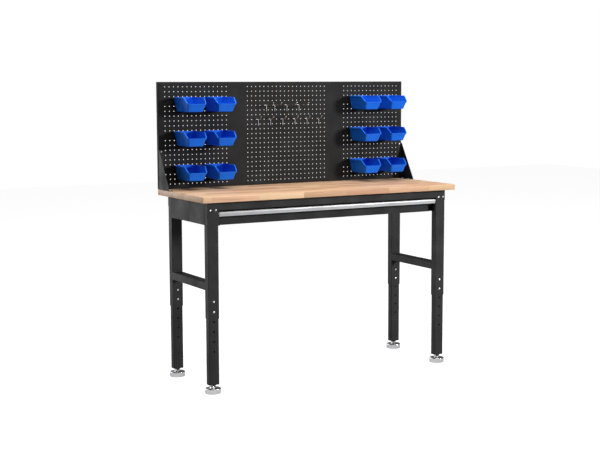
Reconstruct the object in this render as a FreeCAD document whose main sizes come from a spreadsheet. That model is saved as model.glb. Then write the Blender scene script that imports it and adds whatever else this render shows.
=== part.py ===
import FreeCAD, Part
import math
import os
import re
import sys
import Sketcher

# Workbench with a perforated back board, hanging bins, hooks, a drawer and telescopic legs.
# Millimetres. X runs to the right, Y to the back, Z up. The origin is on the floor,
# under the middle of the worktop.

doc = FreeCAD.newDocument("Workbench")
sheet = doc.addObject("Spreadsheet::Sheet", "dims")

SIZES = {
    # Worktop
    "bench_width": (1524, "worktop, left to right"),
    "bench_depth": (550, "worktop, front to back"),
    "bench_height": (996, "floor to the worktop's upper face"),
    "top_thickness": (30, "worktop"),
    "top_round": (3, "rounding of the worktop's edges"),
    # Upper legs
    "side_inset": (42, "worktop's end to a leg's outer face"),
    "end_inset": (38, "worktop's long edge to a leg's face"),
    "leg_width": (59, "upper leg tube, left to right"),
    "leg_depth": (40, "upper leg tube, front to back"),
    "leg_wall": (1.5, "wall of the upper leg and crossbar tubes"),
    "leg_round": (2, "outer corner radius of the upper leg"),
    "sleeve_height": (380, "floor to the upper leg's lower end"),
    # Lower legs
    "slip": (0.5, "room between the lower leg and the upper leg, each side"),
    "inner_wall": (2, "wall of the lower leg tube"),
    "inner_round": (2.5, "outer corner radius of the lower leg"),
    "bolt_rise": (37, "upper leg's lower end to the lower bolt"),
    "height_pitch": (50.8, "step of the height holes"),
    "height_holes": (8, "height holes in a lower leg"),
    "holes_above": (2, "height holes above the two bolted ones"),
    "hole_end": (25.4, "lower leg's upper end to its first hole"),
    "foot_height": (44.8, "floor to the lower leg's end plate"),
    "plate_end": (3, "thickness of the lower leg's end plate"),
    "weld_nut": (29, "diameter of the nut under the end plate"),
    "weld_nut_height": (6, "height of that nut"),
    # Levelling feet
    "pad_size": (81, "diameter of the foot's pad"),
    "pad_wall": (22, "height of the pad's straight wall"),
    "pad_height": (27, "height of the pad at its shoulder"),
    "pad_bevel": (5, "width of the pad's bevelled shoulder"),
    "boss_size": (30, "diameter of the boss on the pad"),
    "boss_height": (33, "floor to the boss's upper face"),
    "stud_size": (12, "diameter of the levelling stud"),
    "stud_top": (82, "floor to the stud's upper end"),
    "stud_room": (0.1, "room round the stud, each side"),
    # Bolts
    "bolt_size": (6, "shank diameter"),
    "bolt_room": (0.3, "room round a shank, each side"),
    "head_size": (11, "diameter of a domed head"),
    "head_height": (3.4, "height of a domed head"),
    "head_crown": (6, "diameter of the head's flat crown"),
    "bolt_nut": (10, "nut, across its corners"),
    "bolt_nut_height": (5, "height of a nut"),
    # End frames
    "bar_drop": (404, "worktop's underside to the crossbar"),
    "bar_height": (38.6, "crossbar"),
    "plate_height": (115, "side plate"),
    "plate_sheet": (1.5, "thickness of the side plate"),
    "plate_flange": (22, "width of the side plate's flanges"),
    # Rails
    "rail_height": (42, "height of the front and rear rail"),
    "rail_sheet": (2, "thickness of the rail"),
    "rail_flange": (25, "width of the rail's flange under the worktop"),
    "rail_tab": (57, "height of the tab that covers a leg's top"),
    "rail_bolt_drop": (39, "worktop's underside to the rail's bolts"),
    "rail_bolt_gap": (30, "between a tab's two bolts"),
    "rail_room": (1, "flange's end to the leg"),
    # Back board
    "board_height": (559, "back board"),
    "board_sheet": (1.2, "thickness of the back board"),
    "board_return": (22, "depth of the board's folded edges"),
    "board_bend": (3, "outer bend radius"),
    "peg_pitch": (25.4, "step of the board's holes"),
    "peg_hole": (5.6, "side of a hole"),
    "hole_rows": (21, "rows of holes"),
    "side_columns": (15, "columns of a side zone"),
    "middle_columns": (20, "columns of the middle zone"),
    "zone_gap": (127, "between two zones' nearest columns"),
    # Board brackets
    "bracket_height": (205, "bracket, worktop to its upper end"),
    "bracket_reach": (125, "bracket, board to its front end"),
    "bracket_sheet": (1.5, "thickness of the bracket"),
    "bracket_flange": (25, "width of the bracket's flanges"),
    "bracket_nose": (6, "blunt ends of the bracket's web"),
    "bracket_bolt_edge": (14.5, "bracket's outer face to its screws"),
    "bracket_bolt_top": (198, "worktop to the upper screw"),
    "bracket_bolt_low": (50, "worktop to the lower screw"),
    "screw_size": (5, "shank diameter of a board screw"),
    "screw_head": (10, "diameter of a board screw's head"),
    "screw_head_height": (2.5, "height of a board screw's head"),
    "screw_room": (0.3, "room round a screw's shank, each side"),
    "screw_length": (22, "shank of a screw in the worktop"),
    "screw_nut": (9, "nut behind the board, across its corners"),
    "screw_nut_height": (4, "height of that nut"),
    "plate_screw_row": (120, "middle of the bench to a side plate's screws"),
    "rail_screw_row": (350, "middle of the bench to a rail's screws"),
    "bracket_screw_first": (35, "board to a bracket's first worktop screw"),
    "bracket_screw_second": (95, "board to a bracket's second worktop screw"),
    # Drawer
    "drawer_drop": (50, "worktop's underside to the drawer's upper edge"),
    "drawer_height": (70, "drawer front"),
    "drawer_depth": (390, "drawer tray"),
    "drawer_sheet": (1.2, "thickness of the tray"),
    "face_sheet": (1.5, "thickness of the drawer front"),
    "tray_height": (60, "tray's walls"),
    "handle_proud": (3.5, "handle's front past the legs"),
    "handle_height": (23, "handle"),
    "handle_wall": (2.5, "thickness of the handle's section"),
    "handle_crown": (9, "height of the handle's rounded upper part"),
    "handle_lip": (16, "handle's fixing lip on the drawer front"),
    "handle_room": (5.5, "handle's end to the leg"),
    "handle_groove": (17, "handle's upper face to the groove in its front"),
    "groove_size": (0.6, "depth and half width of that groove"),
    "face_fold": (12, "depth of the drawer front's folded edges"),
    # Runners
    "runner_space": (13, "leg's inner face to the drawer's side"),
    "runner_height": (45, "outer runner"),
    "runner_length": (450, "each member of a runner"),
    "runner_sheet": (1.2, "thickness of a member"),
    "runner_start": (3, "leg's front face to the runner's front end"),
    "race_gap": (0.4, "running gap between two members"),
    "inner_start": (2, "drawer front to the inner member"),
    "outer_flange": (10.5, "width of the outer member's flanges"),
    "middle_start": (2, "leg's inner face to the middle member's web"),
    "middle_flange": (11, "leg's inner face to the edge of the middle member's flanges"),
    "inner_flange": (4.5, "leg's inner face to the edge of the inner member's flanges"),
    "inner_length": (388, "inner member, along the tray"),
    "runner_level": (23, "drawer's upper edge to the runner's upper edge"),
    # Bins
    "bin_height": (75, "bin"),
    "bin_width": (84, "bin's bottom, left to right"),
    "bin_mouth": (118, "bin's mouth, left to right"),
    "bin_length": (148, "bin's bottom, front to back"),
    "bin_lean": (33, "how far the front wall leans out over the full height"),
    "bin_wall": (2, "thickness of the bin's walls"),
    "bin_floor": (2.5, "thickness of the bin's floor"),
    "bin_rim_run": (130, "level length of the side rim"),
    "bin_lip_height": (42, "height of the front lip"),
    "rim_height": (4.5, "height of the rim's band"),
    "rim_proud": (1.5, "rim's band past the wall"),
    "bin_gap": (6, "board to the bin's rear wall"),
    "hook_web": (2.5, "thickness of the web over the hanger"),
    "hook_drop": (10, "bin's top to the lower end of its hanging lip"),
    "hook_span": (96, "width of the hanging lip"),
    "hook_board": (1, "board to the hanging lip"),
    "hook_lip": (1.6, "thickness of the hanging lip"),
    "left_outer_shift": (2.3, "middle of the hanger to the middle of an outer bin on the left"),
    "left_inner_shift": (-3.5, "the same for the inner bins on the left"),
    "right_inner_shift": (13.5, "the same for the inner bins on the right"),
    "right_outer_shift": (7.7, "the same for the outer bins on the right"),
    # Bin hangers
    "hanger_width": (60, "hanger"),
    "hanger_sheet": (1.5, "thickness of the hanger"),
    "hanger_step": (3.2, "board to the hanger's blade"),
    "hanger_foot": (10, "peg to the hanger's lower end"),
    "hanger_rise": (22.7, "peg to the bin's upper edge"),
    "hanger_bend": (11, "bin's upper edge to the blade's lower end"),
    "hanger_jog": (3, "height of the hanger's slanted step"),
    "seat_gap": (0.3, "blade to the bin's web"),
    "peg_size": (4.6, "diameter of a hanger's peg"),
    "peg_length": (7, "peg, from the board's front face"),
    # Hooks
    "wire_size": (4.6, "hook's wire"),
    "hook_bar": (32, "length of the hook's bar"),
    "hook_stem": (31, "bar to the lower end of the hook's brace"),
    "short_reach": (26, "board to the tip's bend, short hooks"),
    "middle_reach": (72, "board to the tip's bend, middle hooks"),
    "long_reach": (99, "board to the tip's bend, long hooks"),
    "hook_slope": (2, "how far the arm rises"),
    "hook_tip": (13, "rise and run of the turned-up tip"),
    "hook_gap": (0.3, "board to the hook's bar"),
    # Small round pieces and holes
    "round_sides": (8, "flats that stand for the round of a small piece or hole"),
    "pad_sides": (32, "flats that stand for the round of a foot's pad"),
}

for row, (alias, (number, note)) in enumerate(SIZES.items(), start=1):
    sheet.set(f"A{row}", alias)
    sheet.set(f"B{row}", str(number))
    sheet.set(f"C{row}", note)
    sheet.setAlias(f"B{row}", alias)
doc.recompute()

# Places that several pieces share, each a formula of the sheet's values
UNDERSIDE = "(bench_height - top_thickness)"
LEG_OUTER = "(bench_width / 2 - side_inset)"
LEG_CENTRE = "(bench_width / 2 - side_inset - leg_width / 2)"
LEG_INNER = "(bench_width / 2 - side_inset - leg_width)"
FRAME_HALF = "(bench_depth / 2 - end_inset)"
LEG_BACK = "(bench_depth / 2 - end_inset - leg_depth)"
LEG_ROW = "(bench_depth / 2 - end_inset - leg_depth / 2)"
LOW_BOLT = "(sleeve_height + bolt_rise)"
INNER_TOP = f"({LOW_BOLT} + (holes_above + 1) * height_pitch + hole_end)"
INNER_LENGTH = f"({INNER_TOP} - foot_height)"
BOARD_FACE = "(bench_depth / 2 - board_return)"
DRAWER_TOP = f"({UNDERSIDE} - drawer_drop)"
DRAWER_HALF = f"({LEG_INNER} - runner_space)"
RUNNER_TOP = f"({DRAWER_TOP} - runner_level)"
BOLT_HOLE = "(bolt_size / 2 + bolt_room)"
SCREW_HOLE = "(screw_size / 2 + screw_room)"
PLATE_SCREW = f"({LEG_OUTER} - plate_flange / 2)"
RAIL_SCREW = f"({FRAME_HALF} + rail_sheet - rail_flange / 2)"
BRACKET_SCREW = "(bench_width / 2 - bracket_bolt_edge)"
BIN_SLOPE = "((bin_mouth - bin_width) / 2 / bin_height)"
BIN_LEAN = "(bin_lean / bin_height)"
BIN_FRONT = f"(bin_length + {BIN_LEAN} * bin_lip_height)"

SIDES = {"left": -1, "right": 1}
ENDS = {"front": -1, "rear": 1}
WORD = re.compile(r"[a-z][a-z_0-9]*")
NODES = {}


def formula(text):
    """Put the sheet's name before each of its aliases."""
    return WORD.sub(lambda word: "dims." + word.group() if word.group() in SIZES else word.group(), str(text))


def value(text):
    """Work a formula out, as a plain number."""
    return float(sheet.evalExpression(formula(text)))


def bind(thing, **formulas):
    """Bind properties of an object to formulas."""
    for name, text in formulas.items():
        thing.setExpression(name, formula(text))
    return thing


def place(thing, x=0, y=0, z=0, turn=None):
    """Put an object at three formulas, turned by an axis and an angle."""
    if turn:
        thing.Placement.Rotation = FreeCAD.Rotation(FreeCAD.Vector(*turn[0]), turn[1])
    for axis, text in zip("xyz", (x, y, z)):
        thing.setExpression(f".Placement.Base.{axis}", formula(text))
    return thing


def node(thing, name):
    """Name a finished sub-part."""
    thing.Label = name
    NODES[name] = thing
    return thing


def box(length, width, height, x=0, y=0, z=0):
    """A block with its low corner at x, y, z."""
    thing = doc.addObject("Part::Box", "Block")
    bind(thing, Length=length, Width=width, Height=height)
    return place(thing, x, y, z)


def rod(radius, length, x=0, y=0, z=0, turn=None, sides="round_sides"):
    """A round bar that starts at x, y, z and points up before it is turned."""
    thing = doc.addObject("Part::Prism", "Rod")
    bind(thing, Polygon=sides, Circumradius=radius, Height=length)
    return place(thing, x, y, z, turn)


def dome(low_radius, high_radius, height, sides="round_sides"):
    """A small round head: a ruled loft from its seat to its crown."""
    rings = []
    for radius, level in ((low_radius, 0), (high_radius, height)):
        ring = doc.addObject("Part::RegularPolygon", "Ring")
        bind(ring, Polygon=sides, Circumradius=radius)
        rings.append(place(ring, z=level))
    thing = doc.addObject("Part::Loft", "Dome")
    thing.Sections = rings
    thing.Solid = True
    thing.Ruled = True
    return thing


def fuse(*things):
    """One solid from pieces that touch."""
    thing = doc.addObject("Part::MultiFuse", "Fusion")
    thing.Shapes = list(things)
    thing.Refine = True
    return thing


def cut(base, *tools):
    """The base without its tools."""
    thing = doc.addObject("Part::Cut", "Cut")
    thing.Base = base
    thing.Tool = tools[0] if len(tools) == 1 else fuse(*tools)
    thing.Refine = True
    return thing


def group(*things):
    """Separate solids in one sub-part."""
    thing = doc.addObject("Part::Compound", "Group")
    thing.Links = list(things)
    return thing


def origin_plane(body, role):
    """One of a body's own origin planes."""
    return next(item for item in body.Origin.OriginFeatures if item.Role == role)


def new_sketch(body, plane, offset=0):
    """An empty sketch on an origin plane of its body, moved along the plane's normal."""
    sketch = body.newObject("Sketcher::SketchObject", "Outline")
    sketch.AttachmentSupport = [(origin_plane(body, plane), "")]
    sketch.MapMode = "FlatFace"
    sketch.setExpression(".AttachmentOffset.Base.z", formula(offset))
    return sketch


def add_loop(sketch, points):
    """A closed loop of straight lines; every corner is tied to its two formulas."""
    first = sketch.GeometryCount
    count = len(points)
    corners = [FreeCAD.Vector(value(x), value(y), 0) for x, y in points]
    for step in range(count):
        sketch.addGeometry(Part.LineSegment(corners[step], corners[(step + 1) % count]), False)
    for step in range(count):
        following = first + (step + 1) % count
        sketch.addConstraint(Sketcher.Constraint("Coincident", first + step, 2, following, 1))
    for step, texts in enumerate(points):
        for kind, text in zip(("DistanceX", "DistanceY"), texts):
            index = sketch.addConstraint(Sketcher.Constraint(kind, first + step, 1, value(text)))
            sketch.setExpression(f"Constraints[{index}]", formula(text))
    return sketch


def round_corners(x, y, radius):
    """The corners of a small round outline."""
    sides = round(value("round_sides"))
    turns = [2 * math.pi * side / sides for side in range(sides)]
    return [
        (f"{x} + {math.cos(turn):.9f} * {radius}", f"{y} + {math.sin(turn):.9f} * {radius}")
        for turn in turns
    ]


def add_round(sketch, x, y, radius):
    """A small round outline about a centre."""
    return add_loop(sketch, round_corners(x, y, radius))


def rectangle(left, low, right, high):
    """The four corners of a rectangle."""
    return [(left, low), (right, low), (right, high), (left, high)]


def pad(body, sketch, length, middle=False, backwards=False):
    """Extrude a sketch."""
    feature = body.newObject("PartDesign::Pad", "Pad")
    feature.Profile = sketch
    feature.Midplane = middle
    feature.Reversed = backwards
    return bind(feature, Length=length)


def pocket(body, sketch, depth, middle=False, backwards=False):
    """Cut a sketch into the body, and make sure that it removes something."""
    doc.recompute()
    before = body.Shape.Volume
    feature = body.newObject("PartDesign::Pocket", "Pocket")
    feature.Profile = sketch
    feature.Midplane = middle
    feature.Reversed = backwards
    bind(feature, Length=depth)
    doc.recompute()
    if not body.Shape.Volume < before:
        sys.exit(f"{body.Label}: a pocket cuts nothing")
    return feature


def fillet(body, radius, wanted):
    """Round the edges of the body's tip that a test picks out."""
    doc.recompute()
    tip = body.Tip
    names = [f"Edge{index}" for index, edge in enumerate(tip.Shape.Edges, start=1) if wanted(edge)]
    feature = body.newObject("PartDesign::Fillet", "Rounding")
    feature.Base = (tip, names)
    return bind(feature, Radius=radius)


def runs_along(edge, axis):
    """True for a straight edge along an axis."""
    if edge.Curve.TypeId != "Part::GeomLine":
        return False
    return abs(edge.tangentAt(edge.FirstParameter).dot(FreeCAD.Vector(*axis))) > 0.999


def new_body(name):
    """A body with the node's name."""
    return node(doc.addObject("PartDesign::Body", name), name)


def make_worktop():
    """Solid wood board, rounded along its upper edges and corners."""
    body = new_body("worktop")
    half_width = "bench_width / 2"
    half_depth = "bench_depth / 2"
    outline = new_sketch(body, "XY_Plane")
    add_loop(outline, rectangle(f"-{half_width}", f"-{half_depth}", half_width, half_depth))
    pad(body, outline, "top_thickness")
    fillet(body, "top_round", lambda edge: edge.BoundBox.ZMax > value("top_thickness") / 4)
    from_below = new_sketch(body, "XY_Plane")
    for x, y, _ in worktop_fixings():
        add_round(from_below, x, y, SCREW_HOLE)
    pocket(body, from_below, "2 * (screw_length + 1)", middle=True)
    from_above = new_sketch(body, "XY_Plane", "top_thickness")
    for x, y in bracket_fixings():
        add_round(from_above, x, y, SCREW_HOLE)
    pocket(body, from_above, "2 * (screw_length + 1)", middle=True)
    place(body, z=UNDERSIDE)


def make_tube(body, width, depth, wall, length, corner):
    """A rectangular tube that stands on its lower end, with rounded outer corners."""
    outline = new_sketch(body, "XY_Plane")
    add_loop(outline, rectangle(f"-{width} / 2", f"-{depth} / 2", f"{width} / 2", f"{depth} / 2"))
    half_width = f"({width} / 2 - {wall})"
    half_depth = f"({depth} / 2 - {wall})"
    add_loop(outline, rectangle(f"-{half_width}", f"-{half_depth}", half_width, half_depth))
    pad(body, outline, length)
    outside = value(width) / 2 - 0.01
    fillet(body, corner, lambda edge: runs_along(edge, (0, 0, 1)) and abs(edge.CenterOfMass.x) > outside)


def make_upper_leg(side, end):
    """Upper leg: a tube with two holes in its front wall for the height bolts and two for the rail's."""
    body = new_body(f"upper_leg_{end}_{side}")
    length = f"({UNDERSIDE} - sleeve_height)"
    make_tube(body, "leg_width", "leg_depth", "leg_wall", length, "leg_round")
    holes = new_sketch(body, "XZ_Plane")
    for step in (0, 1):
        add_round(holes, 0, f"bolt_rise + {step} * height_pitch", BOLT_HOLE)
    pocket(body, holes, "leg_depth", backwards=True)
    rail_holes = new_sketch(body, "XZ_Plane")
    for shift in (-0.5, 0.5):
        add_round(rail_holes, f"{shift} * rail_bolt_gap", f"{length} - rail_bolt_drop", BOLT_HOLE)
    pocket(body, rail_holes, "leg_depth", backwards=end == "front")
    place(body, f"{SIDES[side]} * {LEG_CENTRE}", f"{ENDS[end]} * {LEG_ROW}", "sleeve_height")


def make_lower_leg(side, end):
    """Lower leg: a tube with a row of height holes, an end plate and a nut for the levelling stud."""
    body = new_body(f"lower_leg_{end}_{side}")
    width = "(leg_width - 2 * leg_wall - 2 * slip)"
    depth = "(leg_depth - 2 * leg_wall - 2 * slip)"
    make_tube(body, width, depth, "inner_wall", INNER_LENGTH, "inner_round")
    plate = new_sketch(body, "XY_Plane")
    inside_x = f"({width} / 2 - inner_wall)"
    inside_y = f"({depth} / 2 - inner_wall)"
    add_loop(plate, rectangle(f"-{inside_x}", f"-{inside_y}", inside_x, inside_y))
    pad(body, plate, "plate_end")
    nut = new_sketch(body, "XY_Plane")
    add_round(nut, 0, 0, "(weld_nut / 2)")
    pad(body, nut, "weld_nut_height", backwards=True)
    bore = new_sketch(body, "XY_Plane")
    add_round(bore, 0, 0, "(stud_size / 2 + stud_room)")
    pocket(body, bore, "2 * (plate_end + weld_nut_height)", middle=True)
    hole = new_sketch(body, "XZ_Plane")
    add_round(hole, 0, f"{INNER_LENGTH} - hole_end", BOLT_HOLE)
    first = pocket(body, hole, "leg_depth", backwards=True)
    pattern = body.newObject("PartDesign::LinearPattern", "HeightHoles")
    pattern.Originals = [first]
    pattern.Direction = (next(item for item in body.Origin.OriginFeatures if item.Role == "Z_Axis"), [""])
    pattern.Reversed = True
    bind(pattern, Length="(height_holes - 1) * height_pitch", Occurrences="height_holes")
    body.Tip = pattern
    place(body, f"{SIDES[side]} * {LEG_CENTRE}", f"{ENDS[end]} * {LEG_ROW}", "foot_height")


def make_foot(side, end):
    """Levelling foot: a round pad with a bevelled shoulder and a boss, on a stud."""
    wall = rod("pad_size / 2", "pad_wall", sides="pad_sides")
    shoulder = dome("pad_size / 2", "pad_size / 2 - pad_bevel", "pad_height - pad_wall", "pad_sides")
    place(shoulder, z="pad_wall")
    boss = rod("boss_size / 2", "boss_height", sides="pad_sides / 2")
    stud = rod("stud_size / 2", "stud_top")
    foot = fuse(wall, shoulder, boss, stud)
    place(foot, f"{SIDES[side]} * {LEG_CENTRE}", f"{ENDS[end]} * {LEG_ROW}", 0)
    node(foot, f"levelling_foot_{end}_{side}")


def bolt(x, y, z, grip, turn):
    """A bolt with a domed head and its nut; the head stands up from z before the turn."""
    head = dome("head_size / 2", "head_crown / 2", "head_height")
    shank = rod("bolt_size / 2", f"{grip} + bolt_nut_height + 1", z=f"-({grip} + bolt_nut_height + 1)")
    nut = doc.addObject("Part::Prism", "Nut")
    nut.Polygon = 6
    bind(nut, Circumradius="bolt_nut / 2", Height="bolt_nut_height")
    place(nut, z=f"-({grip} + bolt_nut_height)")
    return place(fuse(head, shank, nut), x, y, z, turn)


TO_FRONT = ((1, 0, 0), 90)
TO_BACK = ((1, 0, 0), -90)


def make_leg_bolts():
    """Two bolts through the front of every leg hold its height."""
    bolts = []
    grip = "(leg_wall + slip + inner_wall)"
    for side in SIDES.values():
        for end in ENDS.values():
            face = f"({end} * {LEG_ROW} - leg_depth / 2)"
            for step in (0, 1):
                height = f"{LOW_BOLT} + {step} * height_pitch"
                bolts.append(bolt(f"{side} * {LEG_CENTRE}", face, height, grip, TO_FRONT))
    node(group(*bolts), "leg_bolts")


def make_rail_bolts():
    """Two bolts through each end of the front and rear rail."""
    bolts = []
    level = f"{UNDERSIDE} - rail_bolt_drop"
    for end, turn in ((-1, TO_FRONT), (1, TO_BACK)):
        face = f"{end} * ({FRAME_HALF} + rail_sheet)"
        for side in SIDES.values():
            for shift in (-0.5, 0.5):
                middle = f"{side} * {LEG_CENTRE} + {shift} * rail_bolt_gap"
                bolts.append(bolt(middle, face, level, "(rail_sheet + leg_wall)", turn))
    node(group(*bolts), "rail_bolts")


def make_crossbar(name, side):
    """Crossbar: a tube between the front and the rear leg."""
    body = new_body(f"crossbar_{name}")
    outline = new_sketch(body, "XZ_Plane")
    half = "leg_width / 2"
    inner = f"({half} - leg_wall)"
    add_loop(outline, rectangle(f"-{half}", 0, half, "bar_height"))
    add_loop(outline, rectangle(f"-{inner}", "leg_wall", inner, "bar_height - leg_wall"))
    pad(body, outline, f"2 * {LEG_BACK}", middle=True)
    outside = value(half) - 0.01
    fillet(body, "leg_round", lambda edge: runs_along(edge, (0, 1, 0)) and abs(edge.CenterOfMass.x) > outside)
    place(body, f"{side} * {LEG_CENTRE}", 0, f"{UNDERSIDE} - bar_drop - bar_height")


def make_side_plate(name, side):
    """Side plate: a folded channel that closes the end frame under the worktop."""
    body = new_body(f"side_plate_{name}")
    outline = new_sketch(body, "XZ_Plane")
    outer = f"{side} * {LEG_OUTER}"
    web = f"{side} * ({LEG_OUTER} - plate_sheet)"
    edge = f"{side} * ({LEG_OUTER} - plate_flange)"
    low = f"{UNDERSIDE} - plate_height"
    add_loop(outline, [
        (outer, low),
        (edge, low),
        (edge, f"{low} + plate_sheet"),
        (web, f"{low} + plate_sheet"),
        (web, f"{UNDERSIDE} - plate_sheet"),
        (edge, f"{UNDERSIDE} - plate_sheet"),
        (edge, UNDERSIDE),
        (outer, UNDERSIDE),
    ])
    pad(body, outline, f"2 * {LEG_BACK}", middle=True)
    holes = new_sketch(body, "XY_Plane", UNDERSIDE)
    for end in ENDS.values():
        add_round(holes, f"{side} * {PLATE_SCREW}", f"{end} * plate_screw_row", SCREW_HOLE)
    pocket(body, holes, "4 * plate_sheet", middle=True)


def make_rail(name, end):
    """Rail: a folded sheet across the legs, with a flange under the worktop and a tab over each leg."""
    low = f"{UNDERSIDE} - rail_height"
    web = box(f"2 * {LEG_OUTER}", "rail_sheet", "rail_height", f"-{LEG_OUTER}", FRAME_HALF, low)
    flange = box(
        f"2 * ({LEG_INNER} - rail_room)",
        "rail_flange",
        "rail_sheet",
        f"-({LEG_INNER} - rail_room)",
        f"{FRAME_HALF} + rail_sheet - rail_flange",
        f"{UNDERSIDE} - rail_sheet",
    )
    tabs = [
        box("leg_width", "rail_sheet", "rail_tab", start, FRAME_HALF, f"{UNDERSIDE} - rail_tab")
        for start in (f"-{LEG_OUTER}", LEG_INNER)
    ]
    holes = [
        rod(
            BOLT_HOLE,
            "3 * rail_sheet",
            f"{side} * {LEG_CENTRE} + {shift} * rail_bolt_gap",
            f"{FRAME_HALF} - rail_sheet",
            f"{UNDERSIDE} - rail_bolt_drop",
            TO_BACK,
        )
        for side in SIDES.values()
        for shift in (-0.5, 0.5)
    ]
    screw_low = f"{UNDERSIDE} - 2 * rail_sheet"
    holes += [
        rod(SCREW_HOLE, "3 * rail_sheet", f"{side} * rail_screw_row", RAIL_SCREW, screw_low)
        for side in SIDES.values()
    ]
    rail = cut(fuse(web, flange, *tabs), *holes)
    if end < 0:
        rail.Placement.Rotation = FreeCAD.Rotation(FreeCAD.Vector(0, 0, 1), 180)
    node(rail, f"{name}_rail")


def column_places(every):
    """The board's columns of holes, zone by zone, from left to right."""
    middle_half = "(middle_columns - 1) * peg_pitch / 2"
    side_run = "(side_columns - 1) * peg_pitch"
    zones = (
        (f"-({middle_half} + zone_gap + {side_run})", "side_columns"),
        (f"-({middle_half})", "middle_columns"),
        (f"({middle_half} + zone_gap)", "side_columns"),
    )
    for start, count in zones:
        for column in range(0, round(value(count)), every):
            yield value(f"{start} + {column} * peg_pitch")


def row_height(row):
    """Height of a row of holes; row 1 is the uppermost."""
    return f"(bench_height + peg_pitch * (hole_rows + 1 - {row}))"


BIN_ROWS = {"top": 4, "middle": 11, "bottom": 18}
BIN_PLACES = ("left_outer", "left_inner", "right_inner", "right_outer")
HANGER_COLUMNS = {"left_outer": -24.5, "left_inner": -17.5, "right_inner": 17.5, "right_outer": 24.5}
# Each hook's row of holes, column and reach
HOOKS = [(5, -5, "middle_reach"), (5, -3, "middle_reach"), (5, 0, "long_reach"), (5, 3, "long_reach")]
HOOKS += [(8, column, "short_reach") for column in (-7, -4, -1, 2, 5, 8)]
SHOWN_EVERY = 3


def hole_centre(column, row):
    """Centre of a hole in X and Z, with its column counted in hole steps from the middle."""
    return round(value(f"({column}) * peg_pitch"), 3), round(value(row_height(row)), 3)


def used_holes():
    """Centres of the holes that hold a hanger or a hook."""
    centres = set()
    for row in BIN_ROWS.values():
        for column in HANGER_COLUMNS.values():
            centres |= {hole_centre(column - 1, row), hole_centre(column + 1, row)}
    for row, column, reach in HOOKS:
        centres |= {hole_centre(column - 0.5, row), hole_centre(column + 0.5, row)}
    return centres


def make_pegboard():
    """Back board: a folded pan with rows of holes, cut in one go from a grid of small blocks."""
    half = value("bench_width / 2")
    face = value(BOARD_FACE)
    low = value("bench_height")
    height = value("board_height")
    depth = value("board_return")
    thick = value("board_sheet")
    size = value("peg_hole")
    pan = Part.makeBox(2 * half, depth, height, FreeCAD.Vector(-half, face, low))
    front_edges = [edge for edge in pan.Edges if edge.BoundBox.YMax < face + 0.01]
    pan = pan.makeFillet(value("board_bend"), front_edges)
    inner_start = FreeCAD.Vector(-half + thick, face + thick, low + thick)
    pan = pan.cut(Part.makeBox(2 * (half - thick), depth, height - 2 * thick, inner_start))
    centres = used_holes()
    for x in column_places(SHOWN_EVERY):
        for row in range(1, round(value("hole_rows")) + 1, SHOWN_EVERY):
            centres.add((round(x, 3), round(value(row_height(row)), 3)))
    tools = [
        Part.makeBox(size, 3 * thick, size, FreeCAD.Vector(x - size / 2, face - thick, z - size / 2))
        for x, z in sorted(centres)
    ]
    for side in SIDES.values():
        for height_text in ("bracket_bolt_top", "bracket_bolt_low"):
            middle = value(f"{side} * {BRACKET_SCREW}")
            centre = FreeCAD.Vector(middle, face - thick, value(f"bench_height + {height_text}"))
            corners = round_corners(centre.x, centre.z, SCREW_HOLE)
            ring = [FreeCAD.Vector(value(x), centre.y, value(z)) for x, z in corners]
            hole = Part.Face(Part.makePolygon(ring + ring[:1]))
            tools.append(hole.extrude(FreeCAD.Vector(0, 3 * thick, 0)))
    board = doc.addObject("Part::Feature", "Board")
    board.Shape = pan.cut(Part.makeCompound(tools))
    node(board, "pegboard")


def make_bracket(name, side):
    """Board bracket: a triangular web with a flange on the board and one on the worktop."""
    body = new_body(f"board_bracket_{name}")
    outer = f"{side} * bench_width / 2"
    inner = f"{side} * (bench_width / 2 - bracket_flange)"
    web = new_sketch(body, "YZ_Plane", outer)
    add_loop(web, [
        (BOARD_FACE, "bench_height"),
        (BOARD_FACE, "bench_height + bracket_height"),
        (f"{BOARD_FACE} - bracket_nose", "bench_height + bracket_height"),
        (f"{BOARD_FACE} - bracket_reach", "bench_height + bracket_nose"),
        (f"{BOARD_FACE} - bracket_reach", "bench_height"),
    ])
    pad(body, web, "bracket_sheet", backwards=side > 0)
    upright = new_sketch(body, "XZ_Plane", f"-{BOARD_FACE}")
    add_loop(upright, rectangle(inner, "bench_height", outer, "bench_height + bracket_height"))
    pad(body, upright, "bracket_sheet")
    foot = new_sketch(body, "XY_Plane", "bench_height")
    add_loop(foot, rectangle(inner, f"{BOARD_FACE} - bracket_reach", outer, BOARD_FACE))
    pad(body, foot, "bracket_sheet")
    board_holes = new_sketch(body, "XZ_Plane")
    for height in ("bracket_bolt_top", "bracket_bolt_low"):
        add_round(board_holes, f"{side} * {BRACKET_SCREW}", f"bench_height + {height}", SCREW_HOLE)
    pocket(body, board_holes, "2 * bench_depth", middle=True)
    foot_holes = new_sketch(body, "XY_Plane", "bench_height")
    for reach in ("bracket_screw_first", "bracket_screw_second"):
        add_round(foot_holes, f"{side} * {BRACKET_SCREW}", f"{BOARD_FACE} - {reach}", SCREW_HOLE)
    pocket(body, foot_holes, "4 * bracket_sheet", middle=True)


def screw(x, y, z, length, turn=None):
    """A screw with a domed head; the head stands up from z before the turn."""
    head = dome("screw_head / 2", "screw_head / 4", "screw_head_height")
    shank = rod("screw_size / 2", length, z=f"-({length})")
    return place(fuse(head, shank), x, y, z, turn)


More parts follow.
